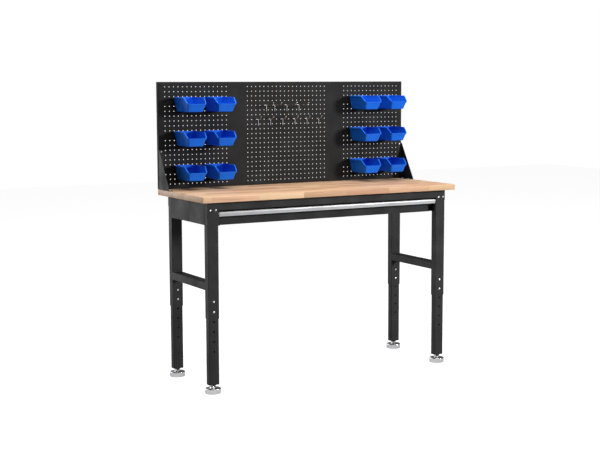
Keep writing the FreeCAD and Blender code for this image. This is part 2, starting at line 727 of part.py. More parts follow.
def make_board_screws():
    """Screws of the brackets: with a nut through the board, and into the worktop."""
    screws = []
    for side in SIDES.values():
        middle = f"{side} * {BRACKET_SCREW}"
        for height in ("bracket_bolt_top", "bracket_bolt_low"):
            length = "bracket_sheet + board_sheet + screw_nut_height + 1"
            level = f"bench_height + {height}"
            long_screw = screw(middle, f"{BOARD_FACE} - bracket_sheet", level, length, TO_FRONT)
            nut = doc.addObject("Part::Prism", "Nut")
            nut.Polygon = 6
            bind(nut, Circumradius="screw_nut / 2", Height="screw_nut_height")
            place(nut, middle, f"{BOARD_FACE} + board_sheet", level, TO_BACK)
            screws.append(fuse(long_screw, nut))
    for x, y in bracket_fixings():
        screws.append(screw(x, y, "bench_height + bracket_sheet", "screw_length"))
    node(group(*screws), "board_screws")


def bracket_fixings():
    """Places of the brackets' screws that go down into the worktop."""
    for side in SIDES.values():
        for reach in ("bracket_screw_first", "bracket_screw_second"):
            yield f"{side} * {BRACKET_SCREW}", f"{BOARD_FACE} - {reach}"


def worktop_fixings():
    """Places of the screws that go up into the worktop, with the thickness that each one holds."""
    for side in SIDES.values():
        for end in ENDS.values():
            yield f"{side} * {PLATE_SCREW}", f"{end} * plate_screw_row", "plate_sheet"
            yield f"{side} * rail_screw_row", f"{end} * {RAIL_SCREW}", "rail_sheet"


def make_worktop_screws():
    """Screws from below that hold the end frames and rails to the worktop."""
    upside_down = ((1, 0, 0), 180)
    screws = [
        screw(x, y, f"{UNDERSIDE} - {sheet_thickness}", "screw_length", upside_down)
        for x, y, sheet_thickness in worktop_fixings()
    ]
    node(group(*screws), "worktop_screws")


def make_member(name, side, points, start, length):
    """One member of a runner: a channel section along Y; its points count from the leg's inner face."""
    body = new_body(f"{name}_{side}")
    section = new_sketch(body, "XZ_Plane", f"-({start})")
    add_loop(section, [(f"{SIDES[side]} * ({LEG_INNER} - {reach})", level) for reach, level in points])
    pad(body, section, length, backwards=True)


def channel(web, edge, low, high, thickness):
    """The eight corners of a channel; its web is at one reach and its flanges end at another."""
    return [
        (web, low),
        (edge, low),
        (edge, f"{low} + runner_sheet"),
        (thickness, f"{low} + runner_sheet"),
        (thickness, f"{high} - runner_sheet"),
        (edge, f"{high} - runner_sheet"),
        (edge, high),
        (web, high),
    ]


def make_runner(side):
    """A three-member runner: outer on the legs, middle between them, inner on the drawer."""
    low = f"({RUNNER_TOP} - runner_height)"
    step = "(runner_sheet + race_gap)"
    start = f"-({FRAME_HALF} - runner_start)"
    outer = channel(0, "outer_flange", low, RUNNER_TOP, "runner_sheet")
    make_member("runner_outer", side, outer, start, "runner_length")
    middle_web = "(middle_start + runner_sheet)"
    middle_low = f"({low} + {step})"
    middle_high = f"({RUNNER_TOP} - {step})"
    middle = channel("middle_start", "middle_flange", middle_low, middle_high, middle_web)
    make_member("runner_middle", side, middle, start, "runner_length")
    inner_low = f"({low} + 2 * {step})"
    inner_high = f"({RUNNER_TOP} - 2 * {step})"
    inner_web = "(runner_space - runner_sheet)"
    inner = channel("runner_space", "inner_flange", inner_low, inner_high, inner_web)
    make_member("runner_inner", side, inner, f"-{LEG_BACK} + inner_start", "inner_length")


def make_drawer():
    """Drawer: a folded tray, a folded front and an extruded handle along its upper edge."""
    low = f"({DRAWER_TOP} - drawer_height)"
    face = f"(-{LEG_BACK})"
    front = new_body("drawer_front")
    section = new_sketch(front, "YZ_Plane")
    back = f"({face} + face_sheet)"
    fold = f"({face} + face_fold)"
    add_loop(section, [
        (face, low),
        (fold, low),
        (fold, f"{low} + face_sheet"),
        (back, f"{low} + face_sheet"),
        (back, f"{DRAWER_TOP} - face_sheet"),
        (fold, f"{DRAWER_TOP} - face_sheet"),
        (fold, DRAWER_TOP),
        (face, DRAWER_TOP),
    ])
    pad(front, section, f"2 * {DRAWER_HALF}", middle=True)

    tray_low = f"{low} + face_sheet"
    outside = box(f"2 * {DRAWER_HALF}", "drawer_depth", "tray_height", f"-{DRAWER_HALF}", back, tray_low)
    inside = box(
        f"2 * ({DRAWER_HALF} - drawer_sheet)",
        "drawer_depth - 2 * drawer_sheet",
        "tray_height",
        f"-({DRAWER_HALF} - drawer_sheet)",
        f"{back} + drawer_sheet",
        f"{tray_low} + drawer_sheet",
    )
    node(cut(outside, inside), "drawer_tray")

    handle = new_body("drawer_handle")
    section = new_sketch(handle, "YZ_Plane")
    nose = f"(-({FRAME_HALF} + handle_proud))"
    groove = f"({DRAWER_TOP} - handle_groove)"
    add_loop(section, [
        (face, DRAWER_TOP),
        (nose, DRAWER_TOP),
        (nose, f"{groove} + groove_size"),
        (f"{nose} + groove_size", groove),
        (nose, f"{groove} - groove_size"),
        (nose, f"{DRAWER_TOP} - handle_height"),
        (f"{nose} + handle_wall", f"{DRAWER_TOP} - handle_height"),
        (f"{nose} + handle_wall", f"{DRAWER_TOP} - handle_wall"),
        (f"{face} - handle_wall", f"{DRAWER_TOP} - handle_wall"),
        (f"{face} - handle_wall", f"{DRAWER_TOP} - handle_lip"),
        (face, f"{DRAWER_TOP} - handle_lip"),
    ])
    pad(handle, section, f"2 * ({LEG_INNER} - handle_room)", middle=True)
    for reach, radius in (("0", "handle_crown"), ("handle_wall", "handle_crown - handle_wall")):
        y = value(f"{nose} + {reach}")
        z = value(f"{DRAWER_TOP} - {reach}")
        fillet(handle, radius, lambda edge: runs_along(edge, (1, 0, 0)) and at_corner(edge, y, z))


def at_corner(edge, y, z):
    """True for an edge along X through y, z."""
    return abs(edge.CenterOfMass.y - y) < 0.01 and abs(edge.CenterOfMass.z - z) < 0.01


def wedge(half_low, half_high, back, front_low, front_high, low, high):
    """A block that widens upwards, from back to front of a bin; its own Y axis is turned up."""
    thing = doc.addObject("Part::Wedge", "Taper")
    bind(
        thing,
        Xmin=f"-{half_low}",
        Xmax=half_low,
        X2min=f"-{half_high}",
        X2max=half_high,
        Zmin=back,
        Z2min=back,
        Zmax=front_low,
        Z2max=front_high,
        Ymin=low,
        Ymax=high,
    )
    return place(thing, turn=((1, 0, 0), 90))


def prism(points, width):
    """A side profile, in Y and Z, extruded to both sides of the middle."""
    profile = doc.addObject("Sketcher::SketchObject", "Profile")
    profile.Placement.Rotation = FreeCAD.Rotation(FreeCAD.Vector(1, 1, 1), 120)
    add_loop(profile, points)
    thing = doc.addObject("Part::Extrusion", "Prism")
    thing.Base = profile
    thing.DirMode = "Custom"
    thing.Dir = FreeCAD.Vector(1, 0, 0)
    thing.Symmetric = True
    thing.Solid = True
    return bind(thing, LengthFwd=width)


def make_bin(row_name, place_name):
    """Bin: drafted walls, a slanted cut towards the front lip, a rim band and a lip over the hanger."""
    far = "(bin_length + bin_lean + 20)"
    outer = wedge("bin_width / 2", "bin_mouth / 2", 0, "bin_length", "bin_length + bin_lean", 0, "bin_height")
    proud_low = "(bin_width / 2 + rim_proud)"
    proud_high = "(bin_mouth / 2 + rim_proud)"
    proud_front = "bin_length + rim_proud"
    proud = wedge(proud_low, proud_high, 0, proud_front, f"{proud_front} + bin_lean", 0, "bin_height")
    floor_half = f"(bin_width / 2 + {BIN_SLOPE} * bin_floor - bin_wall)"
    mouth_half = f"(bin_width / 2 + {BIN_SLOPE} * (bin_height + 5) - bin_wall)"
    floor_front = f"bin_length + {BIN_LEAN} * bin_floor - bin_wall"
    mouth_front = f"bin_length + {BIN_LEAN} * (bin_height + 5) - bin_wall"
    hollow = wedge(floor_half, mouth_half, "bin_wall", floor_front, mouth_front, "bin_floor", "bin_height + 5")
    above_slope = prism(
        [
            ("-bin_rim_run", "bin_height"),
            (f"-{BIN_FRONT}", "bin_lip_height"),
            (f"-{far}", "bin_lip_height"),
            (f"-{far}", "bin_height + 1"),
            ("-bin_rim_run", "bin_height + 1"),
        ],
        "2 * bin_mouth",
    )
    band = prism(
        [
            (0, "bin_height"),
            ("-bin_rim_run", "bin_height"),
            (f"-{BIN_FRONT}", "bin_lip_height"),
            (f"-{far}", "bin_lip_height"),
            (f"-{far}", "bin_lip_height - rim_height"),
            (f"-{BIN_FRONT}", "bin_lip_height - rim_height"),
            ("-bin_rim_run", "bin_height - rim_height"),
            (0, "bin_height - rim_height"),
        ],
        "2 * bin_mouth",
    )
    rim = doc.addObject("Part::MultiCommon", "Rim")
    rim.Shapes = [proud, band]
    lip_back = "(bin_gap - hook_board)"
    hanging_lip = prism(
        [
            ("-bin_wall / 2", "bin_height"),
            ("-bin_wall / 2", "bin_height - hook_web"),
            (f"{lip_back} - hook_lip", "bin_height - hook_web"),
            (f"{lip_back} - hook_lip", "bin_height - hook_drop"),
            (lip_back, "bin_height - hook_drop"),
            (lip_back, "bin_height"),
        ],
        "hook_span",
    )
    shell = fuse(cut(fuse(cut(outer, above_slope), rim), hollow), hanging_lip)
    level = f"{row_height(BIN_ROWS[row_name])} + hanger_rise - bin_height"
    middle = f"{HANGER_COLUMNS[place_name]} * peg_pitch + {place_name}_shift"
    place(shell, middle, f"{BOARD_FACE} - bin_gap", level)
    node(shell, f"bin_{row_name}_{place_name}")


def make_hangers():
    """Bin hangers: a strip on the board with two pegs, stepped forward to a blade."""
    hangers = []
    for row in BIN_ROWS.values():
        for column in HANGER_COLUMNS.values():
            strip = prism(
                [
                    (0, "-hanger_rise - hanger_foot"),
                    (0, "-hanger_bend - hanger_jog"),
                    ("-hanger_step", "-hanger_bend"),
                    ("-hanger_step", "-hook_web - seat_gap"),
                    ("-hanger_step - hanger_sheet", "-hook_web - seat_gap"),
                    ("-hanger_step - hanger_sheet", "-hanger_bend - hanger_sheet / 2"),
                    ("-hanger_sheet", "-hanger_bend - hanger_jog - hanger_sheet / 2"),
                    ("-hanger_sheet", "-hanger_rise - hanger_foot"),
                ],
                "hanger_width",
            )
            half = "hanger_sheet / 2"
            length = f"peg_length + {half}"
            pegs = [
                rod("peg_size / 2", length, f"{shift} * peg_pitch", f"-{half}", "-hanger_rise", TO_BACK)
                for shift in (-1, 1)
            ]
            level = f"{row_height(row)} + hanger_rise"
            hangers.append(place(fuse(strip, *pegs), f"{column} * peg_pitch", BOARD_FACE, level))
    node(group(*hangers), "bin_hangers")


def make_hook(number, row, column, reach):
    """Hook: a wire bar with two pegs, a brace down the board, and an arm that ends in a raised tip."""
    body = new_body(f"hook_{number}")
    centre = "(wire_size / 2 + hook_gap)"
    bar = new_sketch(body, "YZ_Plane")
    add_round(bar, f"-{centre}", 0, "(wire_size / 2)")
    pad(body, bar, "hook_bar", middle=True)
    pegs = new_sketch(body, "XZ_Plane", centre)
    for shift in (-0.5, 0.5):
        add_round(pegs, f"{shift} * peg_pitch", 0, "(wire_size / 2)")
    pad(body, pegs, f"peg_length + {centre}", backwards=True)
    route = new_sketch(body, "YZ_Plane")
    points = [
        (f"-{centre}", "-hook_stem"),
        (f"-{centre}", 0),
        (f"-{reach}", "hook_slope"),
        (f"-{reach} - hook_tip", "hook_slope + hook_tip"),
    ]
    add_route(route, points)
    section = new_sketch(body, "XY_Plane", "-hook_stem")
    add_round(section, 0, f"-{centre}", "(wire_size / 2)")
    arm = body.newObject("PartDesign::AdditivePipe", "Arm")
    arm.Profile = section
    arm.Spine = route
    arm.Transition = "Right corner"
    place(body, f"{column} * peg_pitch", BOARD_FACE, row_height(row))


def add_route(sketch, points):
    """An open run of straight lines; every point is tied to its two formulas."""
    corners = [FreeCAD.Vector(value(x), value(y), 0) for x, y in points]
    for start, end in zip(corners, corners[1:]):
        sketch.addGeometry(Part.LineSegment(start, end), False)
    last = len(points) - 2
    for step in range(last):
        sketch.addConstraint(Sketcher.Constraint("Coincident", step, 2, step + 1, 1))
    for step, texts in enumerate(points):
        line, end = (step, 1) if step <= last else (last, 2)
        for kind, text in zip(("DistanceX", "DistanceY"), texts):
            index = sketch.addConstraint(Sketcher.Constraint(kind, line, end, value(text)))
            sketch.setExpression(f"Constraints[{index}]", formula(text))


def finish_parts():
    """Check every object, then write each sub-part to its own file."""
    doc.recompute()
    broken = [thing.Label for thing in doc.Objects if {"Invalid", "Error"} & set(thing.State)]
    broken += [name for name, thing in NODES.items() if thing.Shape.isNull() or not thing.Shape.isValid()]
    if broken:
        sys.exit("failed: " + ", ".join(broken))
    os.makedirs("parts", exist_ok=True)
    for name, thing in NODES.items():
        thing.Shape.exportStep(f"parts/{name}.step")
        print(name, len(thing.Shape.Solids), "solids,", round(thing.Shape.Volume), "mm3")


make_worktop()
for side in SIDES:
    for end in ENDS:
        make_upper_leg(side, end)
        make_lower_leg(side, end)
        make_foot(side, end)
make_leg_bolts()
for name, side in SIDES.items():
    make_crossbar(name, side)
    make_side_plate(name, side)
    make_bracket(name, side)
    make_runner(name)
for name, end in ENDS.items():
    make_rail(name, end)
make_rail_bolts()
make_worktop_screws()
make_drawer()
make_pegboard()
make_board_screws()
make_hangers()
for row_name in BIN_ROWS:
    for place_name in BIN_PLACES:
        make_bin(row_name, place_name)
for number, (row, column, reach) in enumerate(HOOKS, start=1):
    make_hook(number, row, column, reach)
finish_parts()
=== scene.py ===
# %% [markdown]
# # A workbench with a perforated back board
#
# This lesson dresses a workbench whose pieces were made in a CAD program: a laminated wooden top on
# telescopic steel legs, a wide drawer, and a back board with 1,050 round holes that carries blue
# bins and wire hooks. The CAD pieces arrive as a fixed frame. Where a piece is right as it is, it
# only gets a finish. Where the real one is rounder or finer, a new surface is worked out with numpy.

# %% The fixed frame
import math

import bpy
import numpy as np
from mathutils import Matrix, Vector


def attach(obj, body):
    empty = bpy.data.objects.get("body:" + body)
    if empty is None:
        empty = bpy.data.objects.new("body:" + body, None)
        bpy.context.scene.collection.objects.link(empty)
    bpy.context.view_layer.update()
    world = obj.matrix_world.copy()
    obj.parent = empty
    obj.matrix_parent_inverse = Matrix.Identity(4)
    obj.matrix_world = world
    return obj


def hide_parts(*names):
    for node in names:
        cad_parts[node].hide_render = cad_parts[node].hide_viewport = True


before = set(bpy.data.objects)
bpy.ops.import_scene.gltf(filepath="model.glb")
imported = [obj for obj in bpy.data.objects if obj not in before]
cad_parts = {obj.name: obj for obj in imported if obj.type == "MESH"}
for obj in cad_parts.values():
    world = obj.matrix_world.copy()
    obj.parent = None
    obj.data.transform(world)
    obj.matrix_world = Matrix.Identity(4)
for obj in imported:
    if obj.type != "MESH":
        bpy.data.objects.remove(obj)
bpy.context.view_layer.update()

# %% [markdown]
# ## Camera
#
# The camera stands in front and to the left, a little above the bench, with a long lens. Its place
# was found by fitting the rows of holes and the corners of the frame. The shift keeps the bench
# where the photograph has it in the picture.

# %% Camera
def put_in_scene(name, data):
    """Makes an object of the data, puts it in the scene and gives it back."""
    made = bpy.data.objects.new(name, data)
    bpy.context.scene.collection.objects.link(made)
    return made


camera_data = bpy.data.cameras.new("camera")
camera_data.lens = 76.316
camera_data.sensor_width = 36.0
camera_data.shift_x = -0.0557
camera_data.shift_y = -0.0039
camera = put_in_scene("camera", camera_data)
camera.location = (-3.4092, -5.8896, 1.5784)
camera.rotation_euler = (math.radians(83.26), 0.0, math.radians(-31.13))
bpy.context.scene.camera = camera
print("camera at", [round(x, 2) for x in camera.location])

# %% [markdown]
# ## Floor, lamps and world
#
# A studio photograph on white has three things: a pale floor that still takes a faint shadow, a
# bright backdrop that shows in glossy paint and metal, and lamps that model the shape. The main
# lamp here is a softbox far out at the right, only a little above the bench, because the bins'
# shadows fall to their left, hardly drop and have soft edges. A wide lamp overhead lights the wooden
# top, and a weak one behind at the left rounds the back. The room is dim, apart from a bright part
# behind at the left, which the left faces of the legs reflect. The camera itself sees white wherever
# it looks past the bench, and metal sees a share of that white, as the light path tells the shader.

# %% A helper for shader nodes
def shader_node(tree, kind, inputs=None, **settings):
    """Adds a node to a tree, sets its settings and fills its inputs."""
    made = tree.nodes.new("ShaderNode" + kind)
    for name, setting in settings.items():
        setattr(made, name, setting)
    fill(tree, made, inputs or {})
    return made


def fill(tree, made, inputs):
    """Fills a node's inputs by name or number: a socket is linked, anything else is the input's value."""
    for name, given in inputs.items():
        if isinstance(given, bpy.types.NodeSocket):
            tree.links.new(given, made.inputs[name])
        else:
            made.inputs[name].default_value = given


def calculate(tree, operation, *numbers):
    """A Math node on sockets or numbers; gives its output."""
    return shader_node(tree, "Math", dict(enumerate(numbers)), operation=operation).outputs[0]


def times(tree, first, second):
    """The product of two sockets or numbers."""
    return calculate(tree, "MULTIPLY", first, second)


def plus(tree, first, second):
    """The sum of two sockets or numbers."""
    return calculate(tree, "ADD", first, second)


def blend_colours(tree, share, first, second, kind="MIX"):
    """Mixes two colours by a share from 0 to 1; gives the colour."""
    mixed = shader_node(tree, "Mix", {0: share, 6: first, 7: second}, data_type="RGBA", blend_type=kind)
    return mixed.outputs[2]


def between(tree, number, low, high, to_low=0.0, to_high=1.0):
    """Maps low..high to to_low..to_high and stops at both ends."""
    inputs = {0: number, 1: low, 2: high, 3: to_low, 4: to_high}
    return shader_node(tree, "MapRange", inputs, interpolation_type="SMOOTHSTEP").outputs[0]


def scale_place(tree, place, factors):
    """A place with its X, Y and Z multiplied by three factors; a pattern read there is squeezed by them."""
    return shader_node(tree, "VectorMath", {0: place, 1: factors}, operation="MULTIPLY").outputs[0]


def noise_at(tree, place, scale, detail, **more):
    """The value of a noise texture at a place, mostly near 0.5."""
    inputs = {"Vector": place, "Scale": scale, "Detail": detail, **more}
    return shader_node(tree, "TexNoise", inputs).outputs[0]


def grey_of(tree, level):
    """A grey whose three colours all have one level."""
    return shader_node(tree, "CombineColor", {0: level, 1: level, 2: level}).outputs[0]


def light_rays(tree):
    """Two masks: 1 on rays from the camera, and 1 on rays that a mirror or glass has sent on."""
    path = shader_node(tree, "LightPath").outputs
    sent_on = calculate(tree, "MAXIMUM", path["Is Glossy Ray"], path["Is Transmission Ray"])
    return path["Is Camera Ray"], sent_on


# %% Floor
FLOOR_REACH = 12.0
WHITE = (1, 1, 1, 1)
floor_mesh = bpy.data.meshes.new("floor")
floor_corners = [(x * FLOOR_REACH, y * FLOOR_REACH, 0) for x, y in ((-1, -1), (1, -1), (1, 1), (-1, 1))]
floor_mesh.from_pydata(floor_corners, [], [(0, 1, 2, 3)])
floor = put_in_scene("floor", floor_mesh)
floor_paint = bpy.data.materials.new("pale floor")
floor_paint.use_nodes = True
tree = floor_paint.node_tree
tree.nodes.clear()
seen, mirrored = light_rays(tree)
grey = grey_of(tree, between(tree, seen, 0.0, 1.0, 0.30, 0.55))
matt = shader_node(tree, "BsdfDiffuse", {"Color": grey})
glow_share = plus(tree, times(tree, seen, 0.85), times(tree, mirrored, 0.40))
glow = shader_node(tree, "Emission", {"Color": WHITE, "Strength": glow_share})
both = shader_node(tree, "AddShader", {0: matt.outputs[0], 1: glow.outputs[0]})
shader_node(tree, "OutputMaterial", {"Surface": both.outputs[0]})
floor_mesh.materials.append(floor_paint)

# %% Lamps
def softbox(name, place, aim, size, watts):
    """A square lamp at a place, turned towards the point it aims at."""
    data = bpy.data.lights.new(name, "AREA")
    data.size = size
    data.energy = watts
    lamp = put_in_scene(name, data)
    lamp.location = place
    lamp.rotation_euler = (Vector(aim) - lamp.location).to_track_quat("-Z", "Y").to_euler()


softbox("main softbox", (4.4, -6.4, 2.75), (0, 0.1, 1.2), 1.4, 560)
softbox("overhead softbox", (0.0, -0.6, 3.9), (0, 0, 0.9), 3.0, 116)
softbox("rear left softbox", (-2.8, 3.9, 1.2), (0, 0, 0.9), 1.6, 55)

# %% World
BEHIND_LEFT = (-0.6, 0.8, 0.0)
world = bpy.data.worlds.new("studio")
world.use_nodes = True
bpy.context.scene.world = world
tree = world.node_tree
tree.nodes.clear()
seen, mirrored = light_rays(tree)
direction = shader_node(tree, "TexCoord").outputs["Generated"]
window = shader_node(tree, "VectorMath", {0: direction, 1: BEHIND_LEFT}, operation="DOT_PRODUCT")
room = between(tree, window.outputs["Value"], 0.35, 0.9, 0.05, 1.1)
room = calculate(tree, "MAXIMUM", room, times(tree, mirrored, 0.12))
sky = shader_node(tree, "Background", {"Color": WHITE, "Strength": calculate(tree, "MAXIMUM", room, seen)})
shader_node(tree, "OutputWorld", {"Surface": sky.outputs[0]})
bpy.context.scene.view_settings.view_transform = "Standard"

# %% [markdown]
# ## Effects that several finishes share
#
# A finish is never one flat colour. Paint has a fine orange-peel skin, plastic a faint mottle,
# metal brush marks, and paint and plastic a little dust. Each of these effects is a node
# group with named inputs and outputs, built once, so that every finish can use it with its own
# values. A group gives only colours, masks and heights. The shader stays in the material.

# %% Node groups: how one is made
def new_group(name, inputs, outputs):
    """An empty node group with named float, vector or colour sockets; gives the tree and its two ends."""
    kinds = {"float": "NodeSocketFloat", "vector": "NodeSocketVector", "colour": "NodeSocketColor"}
    tree = bpy.data.node_groups.new(name, "ShaderNodeTree")
    for way, sockets in (("INPUT", inputs), ("OUTPUT", outputs)):
        for label, kind in sockets.items():
            tree.interface.new_socket(name=label, in_out=way, socket_type=kinds[kind])
    return tree, tree.nodes.new("NodeGroupInput").outputs, tree.nodes.new("NodeGroupOutput")


def use_group(tree, group, inputs):
    """Places a group in a material and fills its inputs; gives its outputs."""
    made = tree.nodes.new("ShaderNodeGroup")
    made.node_tree = group
    fill(tree, made, inputs)
    return made.outputs


# %% Node group: fine skin
fine_skin, given, gives = new_group(
    "fine skin",
    {"Place": "vector", "Size": "float", "Colour": "colour", "Mottle": "float"},
    {"Colour": "colour", "Height": "float", "Roughness change": "float"},
)
tree = fine_skin
peel = noise_at(tree, given["Place"], calculate(tree, "DIVIDE", 1.0, given["Size"]), 2.0)
cloud = noise_at(tree, given["Place"], 9.0, 4.0)
speck = noise_at(tree, given["Place"], 240.0, 1.0)
shade = plus(tree, times(tree, cloud, 0.7), times(tree, speck, 0.3))
shade = times(tree, between(tree, shade, 0.35, 0.65, -1.0, 1.0), given["Mottle"])
factor = grey_of(tree, plus(tree, 1.0, shade))
change = times(tree, calculate(tree, "SUBTRACT", cloud, 0.5), 0.5)
mottled = blend_colours(tree, 1.0, given["Colour"], factor, "MULTIPLY")
fill(tree, gives, {"Colour": mottled, "Height": peel, "Roughness change": change})

# %% Node group: dust on what faces up
resting_dust, given, gives = new_group(
    "resting dust",
    {"Place": "vector", "Colour": "colour", "Amount": "float"},
    {"Colour": "colour", "Mask": "float"},
)
tree = resting_dust
normal = shader_node(tree, "NewGeometry").outputs["Normal"]
facing = shader_node(tree, "SeparateXYZ", {0: normal}).outputs["Z"]
patch = noise_at(tree, given["Place"], 22.0, 6.0, Roughness=0.65)
mask = times(tree, between(tree, facing, 0.55, 0.98), between(tree, patch, 0.35, 0.7))
mask = times(tree, mask, given["Amount"])
dusted = blend_colours(tree, mask, given["Colour"], (0.33, 0.30, 0.26, 1))
fill(tree, gives, {"Colour": dusted, "Mask": mask})

# %% Node group: brush marks along one way
brush_marks, given, gives = new_group(
    "brush marks",
    {"Place": "vector", "Stretch": "vector"},
    {"Streak": "float"},
)
tree = brush_marks
streak = noise_at(tree, scale_place(tree, given["Place"], given["Stretch"]), 1.0, 5.0, Roughness=0.6)
fill(tree, gives, {"Streak": streak})
print("groups:", [g.name for g in bpy.data.node_groups])

# %% [markdown]
# ## Powder coat
#
# The frame, the rails, the back board and the drawer are sheet steel under a dark grey powder coat.
# The coat has an orange-peel skin a millimetre or two across and a dull shine. The albedo is very
# low, so most of what the eye sees is the soft reflection of the room. That is why the left sides
# of the legs, which face the bright part of the room, look lighter than their fronts.

# %% Powder coat
def new_finish(name):
    """A material with a plain Principled shader; gives it, its tree, the shader and object coordinates."""
    material = bpy.data.materials.new(name)
    material.use_nodes = True
    tree = material.node_tree
    shader = tree.nodes["Principled BSDF"]
    place = shader_node(tree, "TexCoord").outputs["Object"]
    return material, tree, shader, place


def bumped(tree, height, depth):
    """The normal of a surface with a height in the range 0 to 1, depth metres deep."""
    return shader_node(tree, "Bump", {"Height": height, "Distance": depth, "Strength": 1.0}).outputs[0]


def powder_coat(name, colour, roughness, mottle=0.10, shine=0.5):
    """Dark paint with an orange-peel skin, a little mottle and dust where it faces up."""
    material, tree, shader, place = new_finish(name)
    colours = {"Place": place, "Size": 0.0014, "Colour": (*colour, 1), "Mottle": mottle}
    skin = use_group(tree, fine_skin, colours)
    dusty = use_group(tree, resting_dust, {"Place": place, "Colour": skin["Colour"], "Amount": 0.05})
    rough = plus(tree, roughness, skin["Roughness change"])
    rough = plus(tree, rough, times(tree, dusty["Mask"], 0.5))
    fill(tree, shader, {
        "Base Color": dusty["Colour"],
        "Roughness": rough,
        "Specular IOR Level": shine,
        "Normal": bumped(tree, skin["Height"], 0.00012),
    })
    return material


frame_coat = powder_coat("frame powder coat", (0.0080, 0.0080, 0.0084), 0.66, shine=0.33)
board_coat = powder_coat("board powder coat", (0.0125, 0.0122, 0.0122), 0.74, mottle=0.05, shine=0.18)
drawer_coat = powder_coat("drawer powder coat", (0.0075, 0.0075, 0.0079), 0.66, shine=0.28)
runner_coat = powder_coat("runner black", (0.008, 0.008, 0.009), 0.5)

# %% [markdown]
# ## Moulded plastic
#
# The bins are blue polypropylene, injection moulded: a satin surface with a faint mottle and soft
# edges. The shader is a plain opaque one with a low specular level. Inside a bin the colour deepens
# by itself, where the light bounces from blue to blue.

# %% Moulded plastic
BLUE = (0.008, 0.145, 0.76, 1)
bin_plastic, tree, shader, place = new_finish("blue moulded plastic")
skin = use_group(tree, fine_skin, {"Place": place, "Size": 0.0009, "Colour": BLUE, "Mottle": 0.05})
dusty = use_group(tree, resting_dust, {"Place": place, "Colour": skin["Colour"], "Amount": 0.06})
fill(tree, shader, {
    "Base Color": dusty["Colour"],
    "Roughness": plus(tree, 0.48, skin["Roughness change"]),
    "Specular IOR Level": 0.14,
    "Normal": bumped(tree, skin["Height"], 0.00005),
})

# %% [markdown]
# ## Metals
#
# Four bare metals show: zinc on the hooks and, brighter, on the bolts, both a little cloudy; satin
# anodised aluminium on the drawer's handle, drawn out lengthwise by the extruder; and bright chrome
# on the feet. All are metallic shaders. What sets them apart is roughness and the way their marks run.

# %% Zinc, aluminium and chrome
def bare_metal(name, colour, roughness, stretch, variation, depth):
    """Metal whose roughness and height follow brush marks; stretch counts them in a metre along X, Y, Z."""
    material, tree, shader, place = new_finish(name)
    marks = use_group(tree, brush_marks, {"Place": place, "Stretch": stretch})
    skin = use_group(tree, fine_skin, {"Place": place, "Size": 0.004, "Colour": (*colour, 1), "Mottle": 0.08})
    fill(tree, shader, {
        "Base Color": skin["Colour"],
        "Metallic": 1.0,
        "Roughness": between(tree, marks["Streak"], 0.3, 0.7, roughness - variation, roughness + variation),
        "Normal": bumped(tree, marks["Streak"], depth),
    })
    return material


zinc_wire = bare_metal("zinc plated wire", (0.60, 0.60, 0.61), 0.34, (260, 260, 260), 0.08, 0.00003)
zinc_bolt = bare_metal("zinc plated bolt", (0.84, 0.84, 0.85), 0.42, (420, 420, 420), 0.08, 0.00003)
aluminium = bare_metal("anodised aluminium", (0.43, 0.433, 0.44), 0.48, (6, 900, 900), 0.03, 0.0000005)
chrome = bare_metal("chrome plate", (0.78, 0.78, 0.80), 0.10, (60, 60, 60), 0.04, 0.00001)

# %% [markdown]
# ## Laminated wood
#
# The top is glued up from staves about 42 mm wide that run from left to right. Each stave is a row
# of short blocks, finger-jointed end to end, and every block came from another plank, so its tone,
# its hue and its grain differ from its neighbours'. The pattern is worked out from the place alone:
# the stave's number is the depth divided by its width, the block's number is the length plus a
# random start divided by the block's length, and white noise on that pair of numbers gives each
# block its own tone. The joint line zigzags because a small triangle wave is added to the length.
# On the two ends the same staves show their growth rings instead.

# %% The blocks of the top
STAVE = 0.0423
BLOCK = 0.26
TOOTH, TOOTH_DEPTH = 0.0058, 0.018


def from_middle(tree, number):
    """How far a number is from the middle of its whole step: 0 in the middle, 0.5 at both ends."""
    return calculate(tree, "ABSOLUTE", calculate(tree, "SUBTRACT", calculate(tree, "FRACT", number), 0.5))


wood_blocks, given, gives = new_group(
    "glued blocks",
    {"Place": "vector", "Stave": "float", "Block": "float"},
    {"Tone": "float", "Hue": "float", "Grain place": "vector", "Joint": "float"},
)
tree = wood_blocks
xyz = shader_node(tree, "SeparateXYZ", {0: given["Place"]}).outputs
across = calculate(tree, "DIVIDE", plus(tree, xyz["Y"], 2.0), given["Stave"])
stave = calculate(tree, "FLOOR", across)
start = shader_node(tree, "TexWhiteNoise", {"W": stave}, noise_dimensions="1D").outputs["Value"]
teeth = calculate(tree, "PINGPONG", calculate(tree, "DIVIDE", xyz["Y"], TOOTH), 0.5)
zigzag = times(tree, teeth, TOOTH_DEPTH)
along = plus(tree, plus(tree, xyz["X"], 2.0), zigzag)
along = calculate(tree, "DIVIDE", along, given["Block"])
along = plus(tree, along, times(tree, start, 7.0))
pair = shader_node(tree, "CombineXYZ", {0: stave, 1: calculate(tree, "FLOOR", along), 2: 0.37}).outputs[0]
draw = shader_node(tree, "TexWhiteNoise", {"Vector": pair}, noise_dimensions="3D").outputs["Color"]
parts = shader_node(tree, "SeparateColor", {0: draw}).outputs
shift = scale_place(tree, draw, (9.0, 9.0, 9.0))
shifted = shader_node(tree, "VectorMath", {0: given["Place"], 1: shift}, operation="ADD").outputs[0]
side_line = between(tree, from_middle(tree, across), 0.488, 0.499)
end_line = between(tree, from_middle(tree, along), 0.4982, 0.4998)
joint = calculate(tree, "MAXIMUM", side_line, end_line)
fill(tree, gives, {"Tone": parts[0], "Hue": parts[1], "Grain place": shifted, "Joint": joint})

# %% Lacquered top
def stained(tree, mask, amount, under, stain):
    """Lays a stain over a colour, by the mask times an amount."""
    return blend_colours(tree, times(tree, mask, amount), under, stain)


